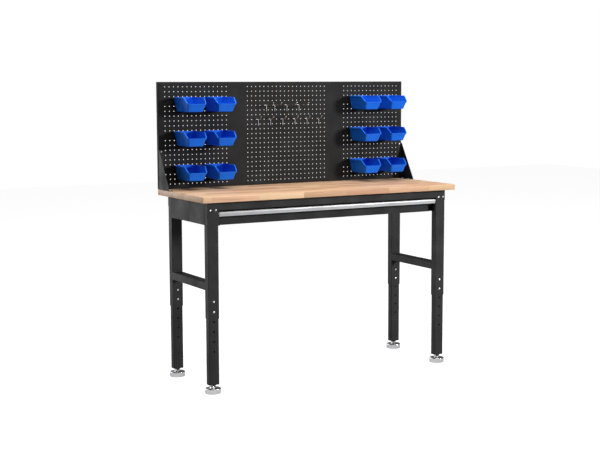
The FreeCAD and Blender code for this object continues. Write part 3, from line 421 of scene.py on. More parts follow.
HALF_WIDTH = 762.0
worktop_wood, tree, shader, place = new_finish("lacquered laminated wood")
blocks = use_group(tree, wood_blocks, {"Place": place, "Stave": STAVE, "Block": BLOCK})
grain_place = blocks["Grain place"]
long_grain = scale_place(tree, grain_place, (2.2, 62.0, 62.0))
grain = noise_at(tree, long_grain, 1.0, 6.0, Roughness=0.62, Distortion=0.7)
pore_place = scale_place(tree, grain_place, (14.0, 900.0, 900.0))
pores = between(tree, noise_at(tree, pore_place, 1.0, 2.0), 0.60, 0.74)
light_wood = blend_colours(tree, blocks["Hue"], (0.86, 0.61, 0.37, 1), (0.84, 0.51, 0.33, 1))
dark_wood = blend_colours(tree, blocks["Hue"], (0.54, 0.33, 0.175, 1), (0.51, 0.26, 0.155, 1))
block_tone = stained(tree, calculate(tree, "POWER", blocks["Tone"], 1.25), 0.85, light_wood, dark_wood)
grain_share = between(tree, grain, 0.42, 0.70, 0.0, 0.38)
face_wood = blend_colours(tree, grain_share, block_tone, (0.40, 0.21, 0.105, 1))
face_wood = stained(tree, pores, 0.35, face_wood, (0.20, 0.10, 0.05, 1))
face_wood = stained(tree, blocks["Joint"], 0.45, face_wood, (0.16, 0.08, 0.04, 1))
ring_place = scale_place(tree, grain_place, (0.0, 1.0, 1.0))
wave = {"Vector": ring_place, "Scale": 70.0, "Distortion": 2.5, "Detail": 2.0}
rings = shader_node(tree, "TexWave", wave, wave_type="RINGS", rings_direction="X").outputs["Fac"]
end_wood = blend_colours(tree, 0.35, block_tone, (0.50, 0.25, 0.12, 1))
end_wood = blend_colours(tree, between(tree, rings, 0.2, 0.8, 0.05, 0.45), end_wood, (0.34, 0.165, 0.08, 1))
length = shader_node(tree, "SeparateXYZ", {0: place}).outputs["X"]
end_face = HALF_WIDTH / 1000
is_end = between(tree, calculate(tree, "ABSOLUTE", length), end_face - 0.0012, end_face - 0.0006)
dents = times(tree, calculate(tree, "MAXIMUM", blocks["Joint"], pores), 0.5)
relief = calculate(tree, "SUBTRACT", times(tree, grain, 0.4), dents)
fill(tree, shader, {
    "Base Color": blend_colours(tree, is_end, face_wood, end_wood),
    "Roughness": between(tree, grain, 0.3, 0.7, 0.36, 0.50),
    "Specular IOR Level": 0.22,
    "Normal": bumped(tree, relief, 0.00015),
})
print("finishes:", [m.name for m in bpy.data.materials])

# %% [markdown]
# ## Surfaces worked out with numpy
#
# Every new piece is one or more grids of points. A row of the grid is a closed loop round the piece,
# and the loops are stacked from one end of the piece to the other. The faces follow from the grid's
# numbering alone, so one function serves all. Lengths are in millimetres until the mesh is made.

# %% Grids, loops and meshes
def grid_faces(rows, columns, wrap_columns=True):
    """Four-sided faces between neighbouring rows and columns; wrapping joins the last column to the first."""
    i = np.arange(rows - 1)[:, None]
    j = np.arange(columns if wrap_columns else columns - 1)[None, :]
    corner = i * columns + j
    right = i * columns + (j + 1) % columns
    return np.stack([corner, right, right + columns, corner + columns], -1).reshape(-1, 4)


def outward(points, blocks):
    """Turns all faces round if the enclosed volume, the sum of the tetrahedra on each face, is negative."""
    volume = 0.0
    for block in blocks:
        fan = points[block]
        for k in range(1, block.shape[1] - 1):
            volume += np.einsum("ij,ij->", fan[:, 0], np.cross(fan[:, k], fan[:, k + 1]))
    return points, blocks if volume > 0 else [block[:, ::-1] for block in blocks]


def skin_over(loops):
    """A closed body over a stack of closed loops, with a flat face on the first and the last."""
    rows, columns = loops.shape[:2]
    first = np.arange(columns)[None, ::-1]
    last = (rows - 1) * columns + np.arange(columns)[None, :]
    return outward(loops.reshape(-1, 3), [grid_faces(rows, columns), first, last])


def together(*bodies):
    """Several bodies as one: each body's point numbers are raised by the points before it."""
    starts = np.cumsum([0] + [len(points) for points, _ in bodies])
    points = np.concatenate([points for points, _ in bodies])
    return points, [block + start for (_, blocks), start in zip(bodies, starts) for block in blocks]


def moved(body, place):
    """A body moved by X, Y and Z."""
    return body[0] + place, body[1]


def polygons_of(blocks, number):
    """Lists of corners by merged point number; a corner that repeats its neighbour is left out."""
    polygons = []
    for block in blocks:
        corners = number[block]
        repeated = corners == np.roll(corners, -1, axis=1)
        extra = repeated.sum(axis=1)
        for count in range(corners.shape[1] - 2):
            rows = extra == count
            kept = corners[rows][~repeated[rows]]
            polygons += kept.reshape(-1, corners.shape[1] - count).tolist()
    return polygons


SHARPEST_SMOOTH = math.radians(35)


def make_piece(name, body, finish, rides, stands_for):
    """Merges equal points, makes the mesh in metres at the origin, and hangs the piece on its CAD body."""
    points, blocks = body
    merged, number = np.unique(np.round(points * 0.001, 6), axis=0, return_inverse=True)
    mesh = bpy.data.meshes.new(name)
    mesh.from_pydata(merged.tolist(), [], polygons_of(blocks, number.reshape(-1)))
    mesh.shade_smooth()
    mesh.set_sharp_from_angle(angle=SHARPEST_SMOOTH)
    mesh.materials.append(finish)
    piece = put_in_scene(name, mesh)
    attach(piece, rides)
    if stands_for:
        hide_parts(*stands_for)
    print(name, len(mesh.polygons), "faces")


# %% Outlines and rings
def arc(centre, radius, start, end, steps=5):
    """Points of an arc from one angle to the other, in degrees: centre + radius (cos, sin)."""
    angle = np.radians(np.linspace(start, end, steps))
    return np.stack([centre[0] + radius * np.cos(angle), centre[1] + radius * np.sin(angle)], -1)


def rounded_rectangle(half_x, half_y, radius):
    """Four quarter arcs round the corners of a rectangle, anticlockwise from the right."""
    x, y = half_x - radius, half_y - radius
    centres = [(x, y), (-x, y), (-x, -y), (x, -y)]
    return np.concatenate([arc(centre, radius, 90 * k, 90 * k + 90) for k, centre in enumerate(centres)])


def rings_about_z(rows, sides):
    """A stack of rings: each row has a radius, alike all round or one for each side, and a height."""
    angle = np.arange(sides) * 2 * np.pi / sides
    loops = [
        np.stack([radius * np.cos(angle), radius * np.sin(angle), height + 0 * angle], -1)
        for radius, height in rows
    ]
    return skin_over(np.array(loops))


# %% [markdown]
# ## Worktop
#
# The top is a slab with eased edges. A stack of rounded rectangles gives it: at each height near the
# lower and the upper face the outline is drawn in by what a quarter circle asks. The flat faces are
# one polygon each, because all their detail is in the wood.

# %% Worktop
def eased_slab(half_x, half_y, low, high, ease, corner):
    """Rounded rectangles, drawn in by ease (1 - sin a) at ease (1 - cos a) from the lower or upper face."""
    angle = np.radians(np.linspace(0, 90, 5))
    inset = ease * (1 - np.sin(angle))
    rise = ease * (1 - np.cos(angle))
    insets = np.concatenate([inset, inset[::-1]])
    heights = np.concatenate([low + rise, high - rise[::-1]])
    loops = []
    for drawn_in, height in zip(insets, heights):
        outline = rounded_rectangle(half_x - drawn_in, half_y - drawn_in, max(corner - drawn_in, 0.3))
        loops.append(np.column_stack([outline, np.full(len(outline), height)]))
    return skin_over(np.array(loops))


HALF_DEPTH, THICKNESS = 275.0, 30.0
BENCH_TOP = 996.0
slab = eased_slab(HALF_WIDTH, HALF_DEPTH, BENCH_TOP - THICKNESS, BENCH_TOP, ease=2.5, corner=4.0)
make_piece("worktop_slab", slab, worktop_wood, "bench", ["worktop"])

# %% [markdown]
# ## Back board
#
# The board is a shallow pan of 1.2 mm sheet, folded back 22 mm on all four sides, with three zones
# of 15, 20 and 15 columns of holes in 21 rows. A Boolean cut of 1,050 holes would be slow and messy,
# so the sheet is laid out on a lattice a third of the hole pitch wide. Where a hole is, the nine
# small squares are left out and a ring of twelve faces joins the square's rim to a circle.

# %% A sheet with round holes
def band(first, second):
    """Four-sided faces between two closed rings of point numbers, for every row of rings."""
    return np.stack([first, np.roll(first, -1, 1), np.roll(second, -1, 1), second], -1).reshape(-1, 4)


def perforated_layers(x_lines, z_lines, holes_x, holes_z, pitch, hole_radius, front, thickness):
    """Front and rear layer of a sheet in X and Z on a lattice of lines, and the walls of its round holes;
    holes_x and holes_z number the lattice lines at the lower left of each hole's three-by-three block."""
    columns, rows = len(x_lines), len(z_lines)
    grid_z, grid_x = np.meshgrid(z_lines, x_lines, indexing="ij")
    lattice = np.stack([grid_x, np.full_like(grid_x, front), grid_z], -1).reshape(-1, 3)
    keep = np.ones((rows - 1, columns - 1), bool)
    for i in range(3):
        for j in range(3):
            keep[holes_z + j, holes_x + i] = False
    plain = grid_faces(rows, columns, wrap_columns=False)[keep.reshape(-1)]
    step_x = np.array([0, 1, 2, 3, 3, 3, 3, 2, 1, 0, 0, 0])
    step_z = np.array([0, 0, 0, 0, 1, 2, 3, 3, 3, 3, 2, 1])
    rim = (holes_z[:, None] + step_z) * columns + holes_x[:, None] + step_x
    angle = np.radians(225 + 30 * np.arange(12))
    centre_x = x_lines[holes_x][:, None] + pitch / 2
    centre_z = z_lines[holes_z][:, None] + pitch / 2
    ring_x = centre_x + hole_radius * np.cos(angle)
    ring_z = centre_z + hole_radius * np.sin(angle)
    rings = np.stack([ring_x, np.full_like(ring_x, front), ring_z], -1).reshape(-1, 3)
    inner = len(lattice) + np.arange(len(rings)).reshape(rim.shape)
    web = band(rim, inner)
    layer = np.concatenate([lattice, rings])
    deeper = layer + (0, thickness, 0)
    far = inner + len(layer)
    walls = band(inner, far)
    faces = np.concatenate([plain, web])
    return np.concatenate([layer, deeper]), [faces, faces[:, ::-1] + len(layer), walls]


# %% Back board
PITCH, HOLE_RADIUS = 25.4, 2.6
COLUMNS, ROWS = 58, 21
BOARD_FACE, BOARD_HEIGHT = 253.0, 559.0
BEND, SHEET, RETURN = 3.0, 1.2, 22.0
column_lines = -COLUMNS / 2 * PITCH + np.arange(COLUMNS * 3 + 1) * (PITCH / 3)
row_lines = BENCH_TOP + PITCH / 2 + np.arange(ROWS * 3 + 1) * (PITCH / 3)
x_lines = np.concatenate([[-HALF_WIDTH + BEND], column_lines, [HALF_WIDTH - BEND]])
z_lines = np.concatenate([[BENCH_TOP + BEND], row_lines, [BENCH_TOP + BOARD_HEIGHT - BEND]])
punched = np.concatenate([np.arange(15), np.arange(19, 39), np.arange(43, COLUMNS)])
holes_x, holes_z = np.meshgrid(1 + 3 * punched, 1 + 3 * np.arange(ROWS))
sheet = perforated_layers(
    x_lines, z_lines, holes_x.reshape(-1), holes_z.reshape(-1), PITCH, HOLE_RADIUS, BOARD_FACE, SHEET
)


def edge_walk(x_lines, z_lines, turns=5):
    """Points round the sheet's edge, anticlockwise, with the way outward at each; a corner turns in place."""
    low, high, left, right = z_lines[0], z_lines[-1], x_lines[0], x_lines[-1]
    runs = [
        (x_lines, np.full_like(x_lines, low), -90),
        (np.full_like(z_lines, right), z_lines, 0),
        (x_lines[::-1], np.full_like(x_lines, high), 90),
        (np.full_like(z_lines, left), z_lines[::-1], 180),
    ]
    walked = []
    for run_x, run_z, degrees in runs:
        walked.append(np.column_stack([run_x, run_z, np.full(len(run_x), degrees)]))
        swing = degrees + np.linspace(0, 90, turns)[1:-1]
        still = np.ones(len(swing))
        walked.append(np.column_stack([run_x[-1] * still, run_z[-1] * still, swing]))
    walked = np.concatenate(walked)
    turn = np.radians(walked[:, 2])
    return walked[:, :2], np.stack([np.cos(turn), np.sin(turn)], -1)


bend_out = arc((0, BEND), BEND, -90, 0)
bend_in = arc((0, BEND), BEND - SHEET, 0, -90)
fold = np.concatenate([bend_out, [[BEND, RETURN], [BEND - SHEET, RETURN]], bend_in])
edge, away = edge_walk(x_lines, z_lines)
flat = edge[:, None, :] + away[:, None, :] * fold[None, :, :1]
fold_points = np.stack([flat[..., 0], BOARD_FACE + fold[None, :, 1] + 0 * flat[..., 0], flat[..., 1]], -1)
looped = np.concatenate([fold_points, fold_points[:1]])
fold_body = (looped.reshape(-1, 3), [grid_faces(*looped.shape[:2], wrap_columns=False)])
board = outward(*together(sheet, fold_body))
make_piece("perforated_board", board, board_coat, "bench", ["pegboard"])
print("holes in the board:", holes_x.size)

# %% [markdown]
# ## Bins
#
# Each bin is one moulded shell: a floor, walls that lean out, a front that is cut down to a low lip,
# and a proud band all round the mouth that stiffens it. Seen from above its outline is a rounded
# rectangle that grows with height. The shell is a stack of such outlines that climbs the outside,
# steps out for the band, goes over the rim and runs down the inside. Only the rim's height differs
# round the bin: level along the back, then falling in a straight line to the front lip.

# %% The bin's outline at any height
BIN_HEIGHT, BIN_WIDTH, BIN_MOUTH, BIN_LENGTH = 75.0, 84.0, 118.0, 148.0
LEAN, LEVEL_RUN, LIP = 33.0 / 75.0, 130.0, 42.0
CORNER, LEAN_START, LEAN_RUN = 7.0, 96.0, 45.0


def outline_part(share, run, lean_share, direction):
    """Rows of: share of the half width, place along the length, lean share, outward direction in degrees."""
    return np.column_stack(np.broadcast_arrays(share, run, lean_share, direction))


quarter = np.linspace(0, 90, 5)
side_runs = np.array([136.0, 132.0, 128.0, 122.0, 114.0, 100.0, 60.0, 20.0])
side_leans = np.clip((side_runs - LEAN_START) / LEAN_RUN, 0, 1)
end_shares = np.array([-0.6, -0.2, 0.2, 0.6])
outline = [
    outline_part(-1, BIN_LENGTH - CORNER, 1, 180 + quarter),
    outline_part(end_shares, BIN_LENGTH - CORNER, 1, 270),
    outline_part(1, BIN_LENGTH - CORNER, 1, 270 + quarter),
    outline_part(1, side_runs, side_leans, 0),
    outline_part(1, CORNER, 0, quarter),
    outline_part(end_shares[::-1], CORNER, 0, 90),
    outline_part(-1, CORNER, 0, 90 + quarter),
    outline_part(-1, side_runs[::-1], side_leans[::-1], 180),
]
share, run, lean_share, direction = np.concatenate(outline).T
toward_x, toward_y = np.cos(np.radians(direction)), np.sin(np.radians(direction))


def bin_outline(height, offset):
    """The outline at a height, which widens and lengthens it; offset moves it out, but not at the back."""
    height = np.broadcast_to(np.asarray(height, float), share.shape)
    half = BIN_WIDTH / 2 + (BIN_MOUTH - BIN_WIDTH) / 2 / BIN_HEIGHT * height
    out_y = np.where(toward_y > 0.01, min(offset, 0.0), offset)
    x = share * (half - CORNER) + toward_x * (CORNER + offset)
    y = -(run + LEAN * height * lean_share) + toward_y * (CORNER + out_y)
    return np.stack([x, y, height], -1)


def rim_height():
    """Where the wall meets the rim: level, then a straight fall to the lip, solved by repeating."""
    height = np.full(share.shape, BIN_HEIGHT)
    end = BIN_LENGTH + LEAN * LIP
    for _ in range(40):
        reach = -bin_outline(height, 0.0)[:, 1]
        fall = (reach - LEVEL_RUN) / (end - LEVEL_RUN)
        height = BIN_HEIGHT - (BIN_HEIGHT - LIP) * np.clip(fall, 0, 1)
    return height


rim = rim_height()
print("rim from", round(rim.min(), 1), "to", round(rim.max(), 1), "mm")

# %% Twelve bins
def carried(section, across, draw):
    """A closed section in Y and Z set at places across along X, each scaled about its middle by its draw."""
    section = np.asarray(section, float)
    middle = section.mean(0)
    points = middle + (section - middle) * np.array(draw)[:, None, None]
    across = np.array(across)[:, None, None]
    return skin_over(np.concatenate([across + 0 * points[..., :1], points], -1))


SEAT, BIN_GAP = 5.0, 6.0
HOOKED_LIP = [
    (-1.0, 74.6), (-1.0, 72.5), (SEAT - 1.6, 72.5), (SEAT - 1.6, 66.2), (SEAT - 1.2, 65.4),
    (SEAT - 0.4, 65.4), (SEAT, 66.2), (SEAT, 73.6), (SEAT - 0.4, 74.6), (SEAT - 1.4, 75.0),
]


def bin_shell(centre, low):
    """Outlines up the outside, over the banded rim and down the inside; a hooked lip hangs on the blade."""
    climb = [
        (0.0, -2.4), (0.7, -0.7), (2.4, 0.0), (8.0, 0.0), (rim - 10.2, 0.0), (rim - 9.2, -0.7),
        (rim - 8.2, -0.7), (rim - 8.0, 2.2), (rim - 7.6, 2.6), (rim - 0.9, 2.6), (rim - 0.2, 2.2),
        (rim, 1.5), (rim, -2.3), (rim - 0.3, -3.1), (rim - 1.0, -3.4), (rim - 3.5, -3.3),
        (rim - 6.0, -2.3), (rim - 12.0, -2.2), (6.5, -2.2), (4.0, -2.8), (2.9, -4.2), (2.5, -6.2),
    ]
    shell = skin_over(np.array([bin_outline(height, offset) for height, offset in climb]))
    lip = carried(HOOKED_LIP, (-48.0, -47.4, 47.4, 48.0), (0.85, 1.0, 1.0, 0.85))
    return moved(together(shell, lip), (centre, BOARD_FACE - BIN_GAP, low))


def row_level(row):
    """Height of a row of holes; row 1 is the uppermost."""
    return BENCH_TOP + PITCH * (ROWS + 1 - row)


BIN_CENTRES = {"left_outer": -620.0, "left_inner": -448.0, "right_inner": 458.0, "right_outer": 630.0}
BIN_ROWS = {"top": 4, "middle": 11, "bottom": 18}
RIM_OVER_HOLE = 22.7
for row_name, row in BIN_ROWS.items():
    for place_name, centre in BIN_CENTRES.items():
        node = f"bin_{row_name}_{place_name}"
        body = bin_shell(centre, row_level(row) + RIM_OVER_HOLE - BIN_HEIGHT)
        make_piece(f"{node}_shell", body, bin_plastic, node, [node])

# %% [markdown]
# ## Hanging strips
#
# In the two outer zones a plain strip of sheet lies over every row of holes that carries bins, so
# those holes don't show beside them. Its upper edge leans forward a little and catches the light.
# A section carried from one side of the zone to the other is all it takes.

# %% Hanging strips
ZONE_IN, ZONE_OUT = 357.0, 735.0
strip_section = [
    (0, -13.0), (0, 10.5), (-1.0, 12.4), (-1.5, 12.6),
    (-2.0, 12.2), (-1.0, 10.4), (-1.0, -12.6), (-0.6, -13.0),
]
strips = []
for across in ((-ZONE_OUT, -ZONE_IN), (ZONE_IN, ZONE_OUT)):
    strip = carried(strip_section, across, (1.0, 1.0))
    strips += [moved(strip, (0, BOARD_FACE, row_level(row))) for row in BIN_ROWS.values()]
make_piece("hanging_strips", together(*strips), board_coat, "bench", [])

# %% [markdown]
# ## Wire hooks
#
# A hook is two bent wires. One makes the bar, whose ends go back through two holes. The other is
# welded across it: it starts lower down as a brace against the board, bends forward at the bar and
# runs out to a raised tip. The hooks come in three reaches. A circle is carried along each bent
# line. Where the line turns, its corner becomes an arc, and at a free end the circle shrinks over
# three rings to a rounded tip.

# %% A wire along a bent line
def bent_line(corners, bend, steps=6):
    """The line through the corners, each inner one rounded by an arc of radius bend between its tangents."""
    corners = np.asarray(corners, float)
    pieces = [corners[:1]]
    for before, corner, after in zip(corners, corners[1:], corners[2:]):
        to_before = (before - corner) / np.linalg.norm(before - corner)
        to_after = (after - corner) / np.linalg.norm(after - corner)
        half = np.arccos(np.clip(to_before @ to_after, -1, 1)) / 2
        middle = (to_before + to_after) / np.linalg.norm(to_before + to_after)
        centre = corner + middle * bend / np.sin(half)
        start = corner + to_before * bend / np.tan(half) - centre
        end = corner + to_after * bend / np.tan(half) - centre
        swing = np.pi - 2 * half
        share = np.linspace(0, 1, steps)[:, None]
        spoke = np.sin((1 - share) * swing) * start + np.sin(share * swing) * end
        pieces.append(centre + spoke / np.sin(swing))
    return np.concatenate(pieces + [corners[-1:]])


def wire(line, radius, upright, sides=12):
    """A circle carried along a flat line: its two axes are the upright of the line's plane and across it."""
    ahead = np.gradient(line, axis=0)
    ahead /= np.linalg.norm(ahead, axis=1)[:, None]
    angle = np.radians([90.0, 60.0, 30.0, 0.0])
    past_end = radius * np.sin(angle)[:, None]
    start = line[0] - ahead[0] * past_end
    end = line[-1] + ahead[-1] * past_end[::-1]
    centres = np.concatenate([start, line[1:-1], end])
    half_ball = radius * np.cos(angle)
    sizes = np.concatenate([half_ball, np.full(len(line) - 2, radius), half_ball[::-1]])
    along = np.concatenate([np.repeat(ahead[:1], 4, 0), ahead[1:-1], np.repeat(ahead[-1:], 4, 0)])
    upright = np.asarray(upright, float)
    across = np.cross(along, upright)
    round_it = np.arange(sides) * 2 * np.pi / sides
    circle = np.cos(round_it)[None, :, None] * upright + np.sin(round_it)[None, :, None] * across[:, None, :]
    return skin_over(centres[:, None, :] + sizes[:, None, None] * circle)


# %% Hooks
WIRE = 2.3
WIRE_Y = -(WIRE + 0.3)
BRACE, RISE, TIP = 31.0, 2.0, 13.0
HOOKS = [(5, -5, 72.0), (5, -3, 72.0), (5, 0, 99.0), (5, 3, 99.0)]
HOOKS += [(8, column, 26.0) for column in (-7, -4, -1, 2, 5, 8)]
BAR, BAR_END = PITCH / 2, 7.0
BAR_BEND, ARM_BEND = 3.6, 4.0
bar_line = bent_line([(-BAR, BAR_END, 0), (-BAR, WIRE_Y, 0), (BAR, WIRE_Y, 0), (BAR, BAR_END, 0)], BAR_BEND)
for number, (row, column, reach) in enumerate(HOOKS, start=1):
    corners = [(0, WIRE_Y, -BRACE), (0, WIRE_Y, 0), (0, -reach, RISE), (0, -reach - TIP, RISE + TIP)]
    arm = wire(bent_line(corners, ARM_BEND), WIRE, (1, 0, 0))
    hook = together(wire(bar_line, WIRE, (0, 0, 1)), arm)
    body = moved(hook, (column * PITCH, BOARD_FACE, row_level(row)))
    make_piece(f"hook_{number}_wire", body, zinc_wire, "bench", [f"hook_{number}"])

# %% [markdown]
# ## Lower legs
#
# A lower leg is a tube with a row of round height holes down its front. The front wall is the same
# lattice with round holes as the back board, and the rest of the tube is one C-shaped section
# carried up through the same levels, so that the two meet point for point. A plate closes the lower
# end, with the nut that takes the foot's stud welded under it.

# %% A tube with holes in its front
def holed_tube(half_x, half_y, corner, wall, low, high, levels, hole_radius, block=12.0):
    """Front wall on a lattice, with a round hole at each level; the other walls are a C carried along Z."""
    steps = np.array([-0.5, -1 / 6, 1 / 6, 0.5]) * block
    z_lines = np.concatenate([[low], (levels[:, None] + steps).reshape(-1), [high]])
    x_lines = np.concatenate([[corner - half_x], steps, [half_x - corner]])
    first = 1 + 4 * np.arange(len(levels))
    sheet, sheet_faces = perforated_layers(
        x_lines, z_lines, np.ones_like(first), first, block, hole_radius, -half_y, wall
    )
    outside, inside = [
        np.roll(rounded_rectangle(half_x - inset, half_y - inset, corner - inset), 5, axis=0)
        for inset in (0, wall)
    ]
    section = np.concatenate([outside, inside[::-1]])
    count, half = len(section), len(outside)
    rows = len(z_lines)
    level = z_lines[:, None, None]
    carried_up = np.concatenate([section + 0 * level, level + 0 * section[:, :1]], -1)
    walls = grid_faces(rows, count).reshape(rows - 1, count, 4)
    walls = np.delete(walls, [half - 1, count - 1], axis=1).reshape(-1, 4)
    i = np.arange(half - 1)
    cap = np.stack([i, i + 1, count - 2 - i, count - 1 - i], -1)
    j = np.arange(len(x_lines) - 1)
    layer = len(sheet) // 2
    strip = np.stack([j, j + 1, j + 1 + layer, j + layer], -1)
    top_row = (rows - 1) * len(x_lines)
    sheet_faces = sheet_faces + [strip[:, ::-1], strip + top_row]
    c_faces = [walls, cap[:, ::-1], cap + (rows - 1) * count]
    return together((sheet, sheet_faces), (carried_up.reshape(-1, 3), c_faces))


# %% Lower legs
LEG_X, LEG_Y = 690.5, 217.0
HOLE_STEP = 50.8


def make_at_legs(name, body, finish, rides, stands_for):
    """Makes a body about Z into four pieces, one on the axis of each leg."""
    for end, end_sign in (("front", -1), ("rear", 1)):
        for side, side_sign in (("left", -1), ("right", 1)):
            leg = f"{end}_{side}"
            placed = moved(body, (side_sign * LEG_X, end_sign * LEG_Y, 0))
            make_piece(f"{name}_{leg}", placed, finish, f"{rides}_{leg}", [f"{stands_for}_{leg}"])


height_holes = 213.8 + HOLE_STEP * np.arange(8)
leg_tube = holed_tube(
    27.5, 18.0, corner=2.5, wall=2.0, low=44.8, high=594.8, levels=height_holes, hole_radius=4.9
)
end_plate = eased_slab(25.4, 15.9, low=44.9, high=47.8, ease=0.2, corner=0.5)
weld_nut = rings_about_z([(0, 38.8), (14.1, 38.8), (14.5, 39.2), (14.5, 44.9), (0, 44.9)], 32)
lower_leg = together(leg_tube, end_plate, weld_nut)
make_at_legs("leg_tube", lower_leg, frame_coat, "leg", "lower_leg")

# %% [markdown]
# ## Levelling feet
#
# Each foot is a chromed disc with a bevelled shoulder and a boss, turned from a profile, on a
# threaded stud. The thread is the same turned surface with one more idea: the radius is a triangle
# wave of the height plus the share of a turn, so the ridge climbs one pitch in every turn.

# %% Feet
def threaded(radius, low, high, pitch, depth, sides=20, rows_per_turn=4):
    """A stud about Z whose radius falls and rises with the height over the pitch plus the share of a turn."""
    height = np.linspace(low, high, int((high - low) / pitch * rows_per_turn))
    turn = np.arange(sides) / sides
    wave = np.abs((height[:, None] / pitch + turn) % 1.0 - 0.5) * 2
    return rings_about_z(zip(radius - depth * wave, height), sides)


pad_profile = np.concatenate([
    [(0, 0.0), (37.5, 0.0)], arc((37.5, 3.0), 3.0, -90, 0), arc((37.0, 23.5), 3.5, 0, 90, 6),
    [(17.5, 27.0)], arc((17.5, 29.5), 2.5, -90, -180, 4),
    [(15.0, 32.2), (14.3, 33.0), (6.4, 33.0), (0, 33.0)],
])
stud = threaded(radius=6.0, low=32.5, high=82.0, pitch=1.75, depth=0.55)
foot = together(rings_about_z(pad_profile, 64), stud)
make_at_legs("foot_turned", foot, chrome, "foot", "levelling_foot")

# %% [markdown]
# ## Bolts and screws
#
# Two domed bolts hold the height of every leg, and two more hold each end of a rail. Their heads
# are turned, but the socket for the key has six flats. The same stack of rings does both: in the
# socket's rows the radius is that of a hexagon, which is the distance to a flat divided by the
# cosine of the angle from the middle of that flat.

# %% Bolts and screws
def hexagon(flat, sides):
    """Radius of a hexagon at each side of a ring; flat is the distance from its middle to a flat."""
    angle = np.arange(sides) * 2 * np.pi / sides
    return flat / np.cos((angle + np.pi / 6) % (np.pi / 3) - np.pi / 6)


def domed_fastener(head, height, shank, length, key, sides=24):
    """Shank tip, shank, flat underside, dome and a six-sided socket; the head stands up from height 0."""
    socket = hexagon(key / 2, sides)
    swing = np.radians(np.linspace(0, 68, 6))
    dome = [(head * np.cos(a), 0.5 + (height - 0.5) / np.sin(swing[-1]) * np.sin(a)) for a in swing]
    rows = [
        (0, -length), (shank - 0.6, -length), (shank, 0.6 - length), (shank, 0), (head - 0.3, 0),
        (head, 0.25), *dome, (socket + 0.25, height), (socket, height - 0.25), (socket, height - 1.9),
        (0, height - 2.3),
    ]
    return rings_about_z(rows, sides)


def hex_nut(across_corners, low, high, sides=24):
    """A six-sided nut about Z with its corners bevelled at both ends."""
    flat = across_corners / 2 * math.cos(math.pi / 6)
    full = hexagon(flat, sides)
    inner = np.minimum(full, flat * 1.02)
    rows = [(0, low), (inner, low), (full, low + 0.8), (full, high - 0.8), (inner, high), (0, high)]
    return rings_about_z(rows, sides)


def aimed(body, way, place):
    """Turns a body's +Z to the front, the back, down or up, and moves it to its place."""
    x, y, z = body[0].T
    pointed = {"front": (x, -z, y), "back": (x, z, -y), "down": (x, -y, -z), "up": (x, y, z)}[way]
    return moved((np.stack(pointed, -1), body[1]), place)


def make_fasteners(name, bodies, node):
    """Joins all fasteners of one CAD node into one piece."""
    make_piece(name, together(*bodies), zinc_bolt, "bench", [node])


BOLT_LEVEL, RAIL_BOLT_LEVEL = 417.0, 927.0
UPPER_LEG_HALF, RAIL_FACE, TAB_HALF = 20.0, 239.0, 15.0
BOLT = {"head": 5.5, "height": 3.4, "shank": 3.0, "key": 4.0}
leg_bolt = together(domed_fastener(length=10.0, **BOLT), hex_nut(10.0, low=-9.0, high=-4.0))
leg_bolts = [
    aimed(leg_bolt, "front", (side * LEG_X, end * LEG_Y - UPPER_LEG_HALF, BOLT_LEVEL + step * HOLE_STEP))
    for side in (-1, 1) for end in (-1, 1) for step in (0, 1)
]
make_fasteners("leg_bolts_domed", leg_bolts, "leg_bolts")
rail_bolt = together(domed_fastener(length=9.5, **BOLT), hex_nut(10.0, low=-8.5, high=-3.5))
rail_bolts = [
    aimed(rail_bolt, way, (side * LEG_X + shift, end * RAIL_FACE, RAIL_BOLT_LEVEL))
    for end, way in ((-1, "front"), (1, "back")) for side in (-1, 1) for shift in (-TAB_HALF, TAB_HALF)
]
make_fasteners("rail_bolts_domed", rail_bolts, "rail_bolts")

# %% Screws of the brackets and the worktop
BRACKET_X, BRACKET_SHEET = 747.5, 1.5
# Places of the screws that hold the top, through the side plates and through the rails
PLATE_SCREW, RAIL_SCREW = (709.0, 120.0, 964.5), (350.0, 226.5, 964.0)
SCREW = {"head": 5.0, "height": 2.5, "shank": 2.5, "key": 3.2}
board_screw = together(domed_fastener(length=7.7, **SCREW), hex_nut(9.0, low=-6.7, high=-2.7))
wood_screw = domed_fastener(length=22.0, **SCREW)
bracket_screws = [
    aimed(board_screw, "front", (side * BRACKET_X, BOARD_FACE - BRACKET_SHEET, BENCH_TOP + rise))
    for side in (-1, 1) for rise in (198, 50)
]
bracket_screws += [
    aimed(wood_screw, "up", (side * BRACKET_X, BOARD_FACE - reach, BENCH_TOP + BRACKET_SHEET))
    for side in (-1, 1) for reach in (35, 95)
]
make_fasteners("bracket_screws_domed", bracket_screws, "board_screws")
under_screws = [
    aimed(wood_screw, "down", (side * x, end * y, level))
    for x, y, level in (PLATE_SCREW, RAIL_SCREW) for side in (-1, 1) for end in (-1, 1)
]
make_fasteners("worktop_screws_domed", under_screws, "worktop_screws")

# %% [markdown]
# ## Drawer handle
#
# The handle is an aluminium extrusion as long as the drawer: a flat top, a band that slants out to a
# small round nose and catches the light, a face below it that leans in, and a flange that fixes it
# to the drawer. Its section is drawn once and repeated along the length, which is just what the
# extruder's die does. Both ends are drawn in a little, so that they have no knife edge.

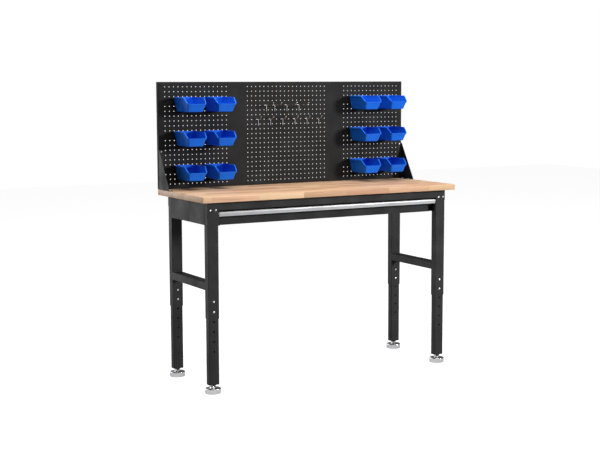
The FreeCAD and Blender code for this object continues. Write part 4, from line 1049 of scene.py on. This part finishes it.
# %% Drawer handle
DRAWER_TOP = 916.0
NOSE, FLANGE = -240.5, -197.0
HANDLE_END = 655.5
handle_section = np.concatenate([
    [(FLANGE, DRAWER_TOP)],
    arc((NOSE + 3.6, DRAWER_TOP - 1.2), 1.2, 90, 161, 4),
    arc((NOSE + 1.9, DRAWER_TOP - 6.6), 1.5, 163, 192, 4),
    [(NOSE + 3.4, DRAWER_TOP - 21.6)],
    arc((NOSE + 4.3, DRAWER_TOP - 22.1), 0.9, 200, 340, 5),
    [(NOSE + 2.8, DRAWER_TOP - 8.0)],
    arc((NOSE + 5.5, DRAWER_TOP - 5.5), 3.0, 170, 90, 5),
    [(FLANGE - 2.5, DRAWER_TOP - 2.5), (FLANGE - 2.5, DRAWER_TOP - 16), (FLANGE, DRAWER_TOP - 16)],
])
across = (-HANDLE_END, 0.5 - HANDLE_END, HANDLE_END - 0.5, HANDLE_END)
handle = carried(handle_section, across, (0.992, 1.0, 1.0, 0.992))
make_piece("handle_extrusion", handle, aluminium, "drawer", ["drawer_handle"])

# %% [markdown]
# ## The CAD pieces that stay
#
# The upper legs, rails, plates, crossbars, brackets, hangers, runners and the drawer's sheet metal
# are right as they are. A real folded sheet or tube has no knife edge, though, so each gets a Weld
# modifier, which joins its loose triangles, and a narrow Bevel, which gives every edge the small
# round that catches the light.

# %% Finishes for the CAD pieces
def dress(node, finish, edge):
    """Gives a CAD node its finish and eases its edges by modifiers; the triangles of its mesh stay."""
    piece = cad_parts[node]
    piece.data.materials.clear()
    piece.data.materials.append(finish)
    if "custom_normal" in piece.data.attributes:
        piece.data.attributes.remove(piece.data.attributes["custom_normal"])
    weld = piece.modifiers.new("join", "WELD")
    weld.merge_threshold = 0.00001
    bevel = piece.modifiers.new("ease", "BEVEL")
    bevel.width = edge * 0.001
    bevel.segments = 2
    bevel.limit_method = "ANGLE"
    bevel.angle_limit = math.radians(50)
    bevel.harden_normals = True


for side in ("left", "right"):
    for end in ("front", "rear"):
        dress(f"upper_leg_{end}_{side}", frame_coat, 0.3)
    dress(f"crossbar_{side}", frame_coat, 0.3)
    dress(f"side_plate_{side}", frame_coat, 0.5)
    dress(f"board_bracket_{side}", frame_coat, 0.5)
    for member in ("outer", "middle", "inner"):
        dress(f"runner_{member}_{side}", runner_coat, 0.3)
dress("front_rail", frame_coat, 0.6)
dress("rear_rail", frame_coat, 0.6)
dress("bin_hangers", board_coat, 0.3)
dress("drawer_front", drawer_coat, 0.5)
dress("drawer_tray", drawer_coat, 0.3)
left_over = [n for n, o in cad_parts.items() if not o.hide_render and not o.modifiers]
print("CAD nodes without a finish:", left_over)
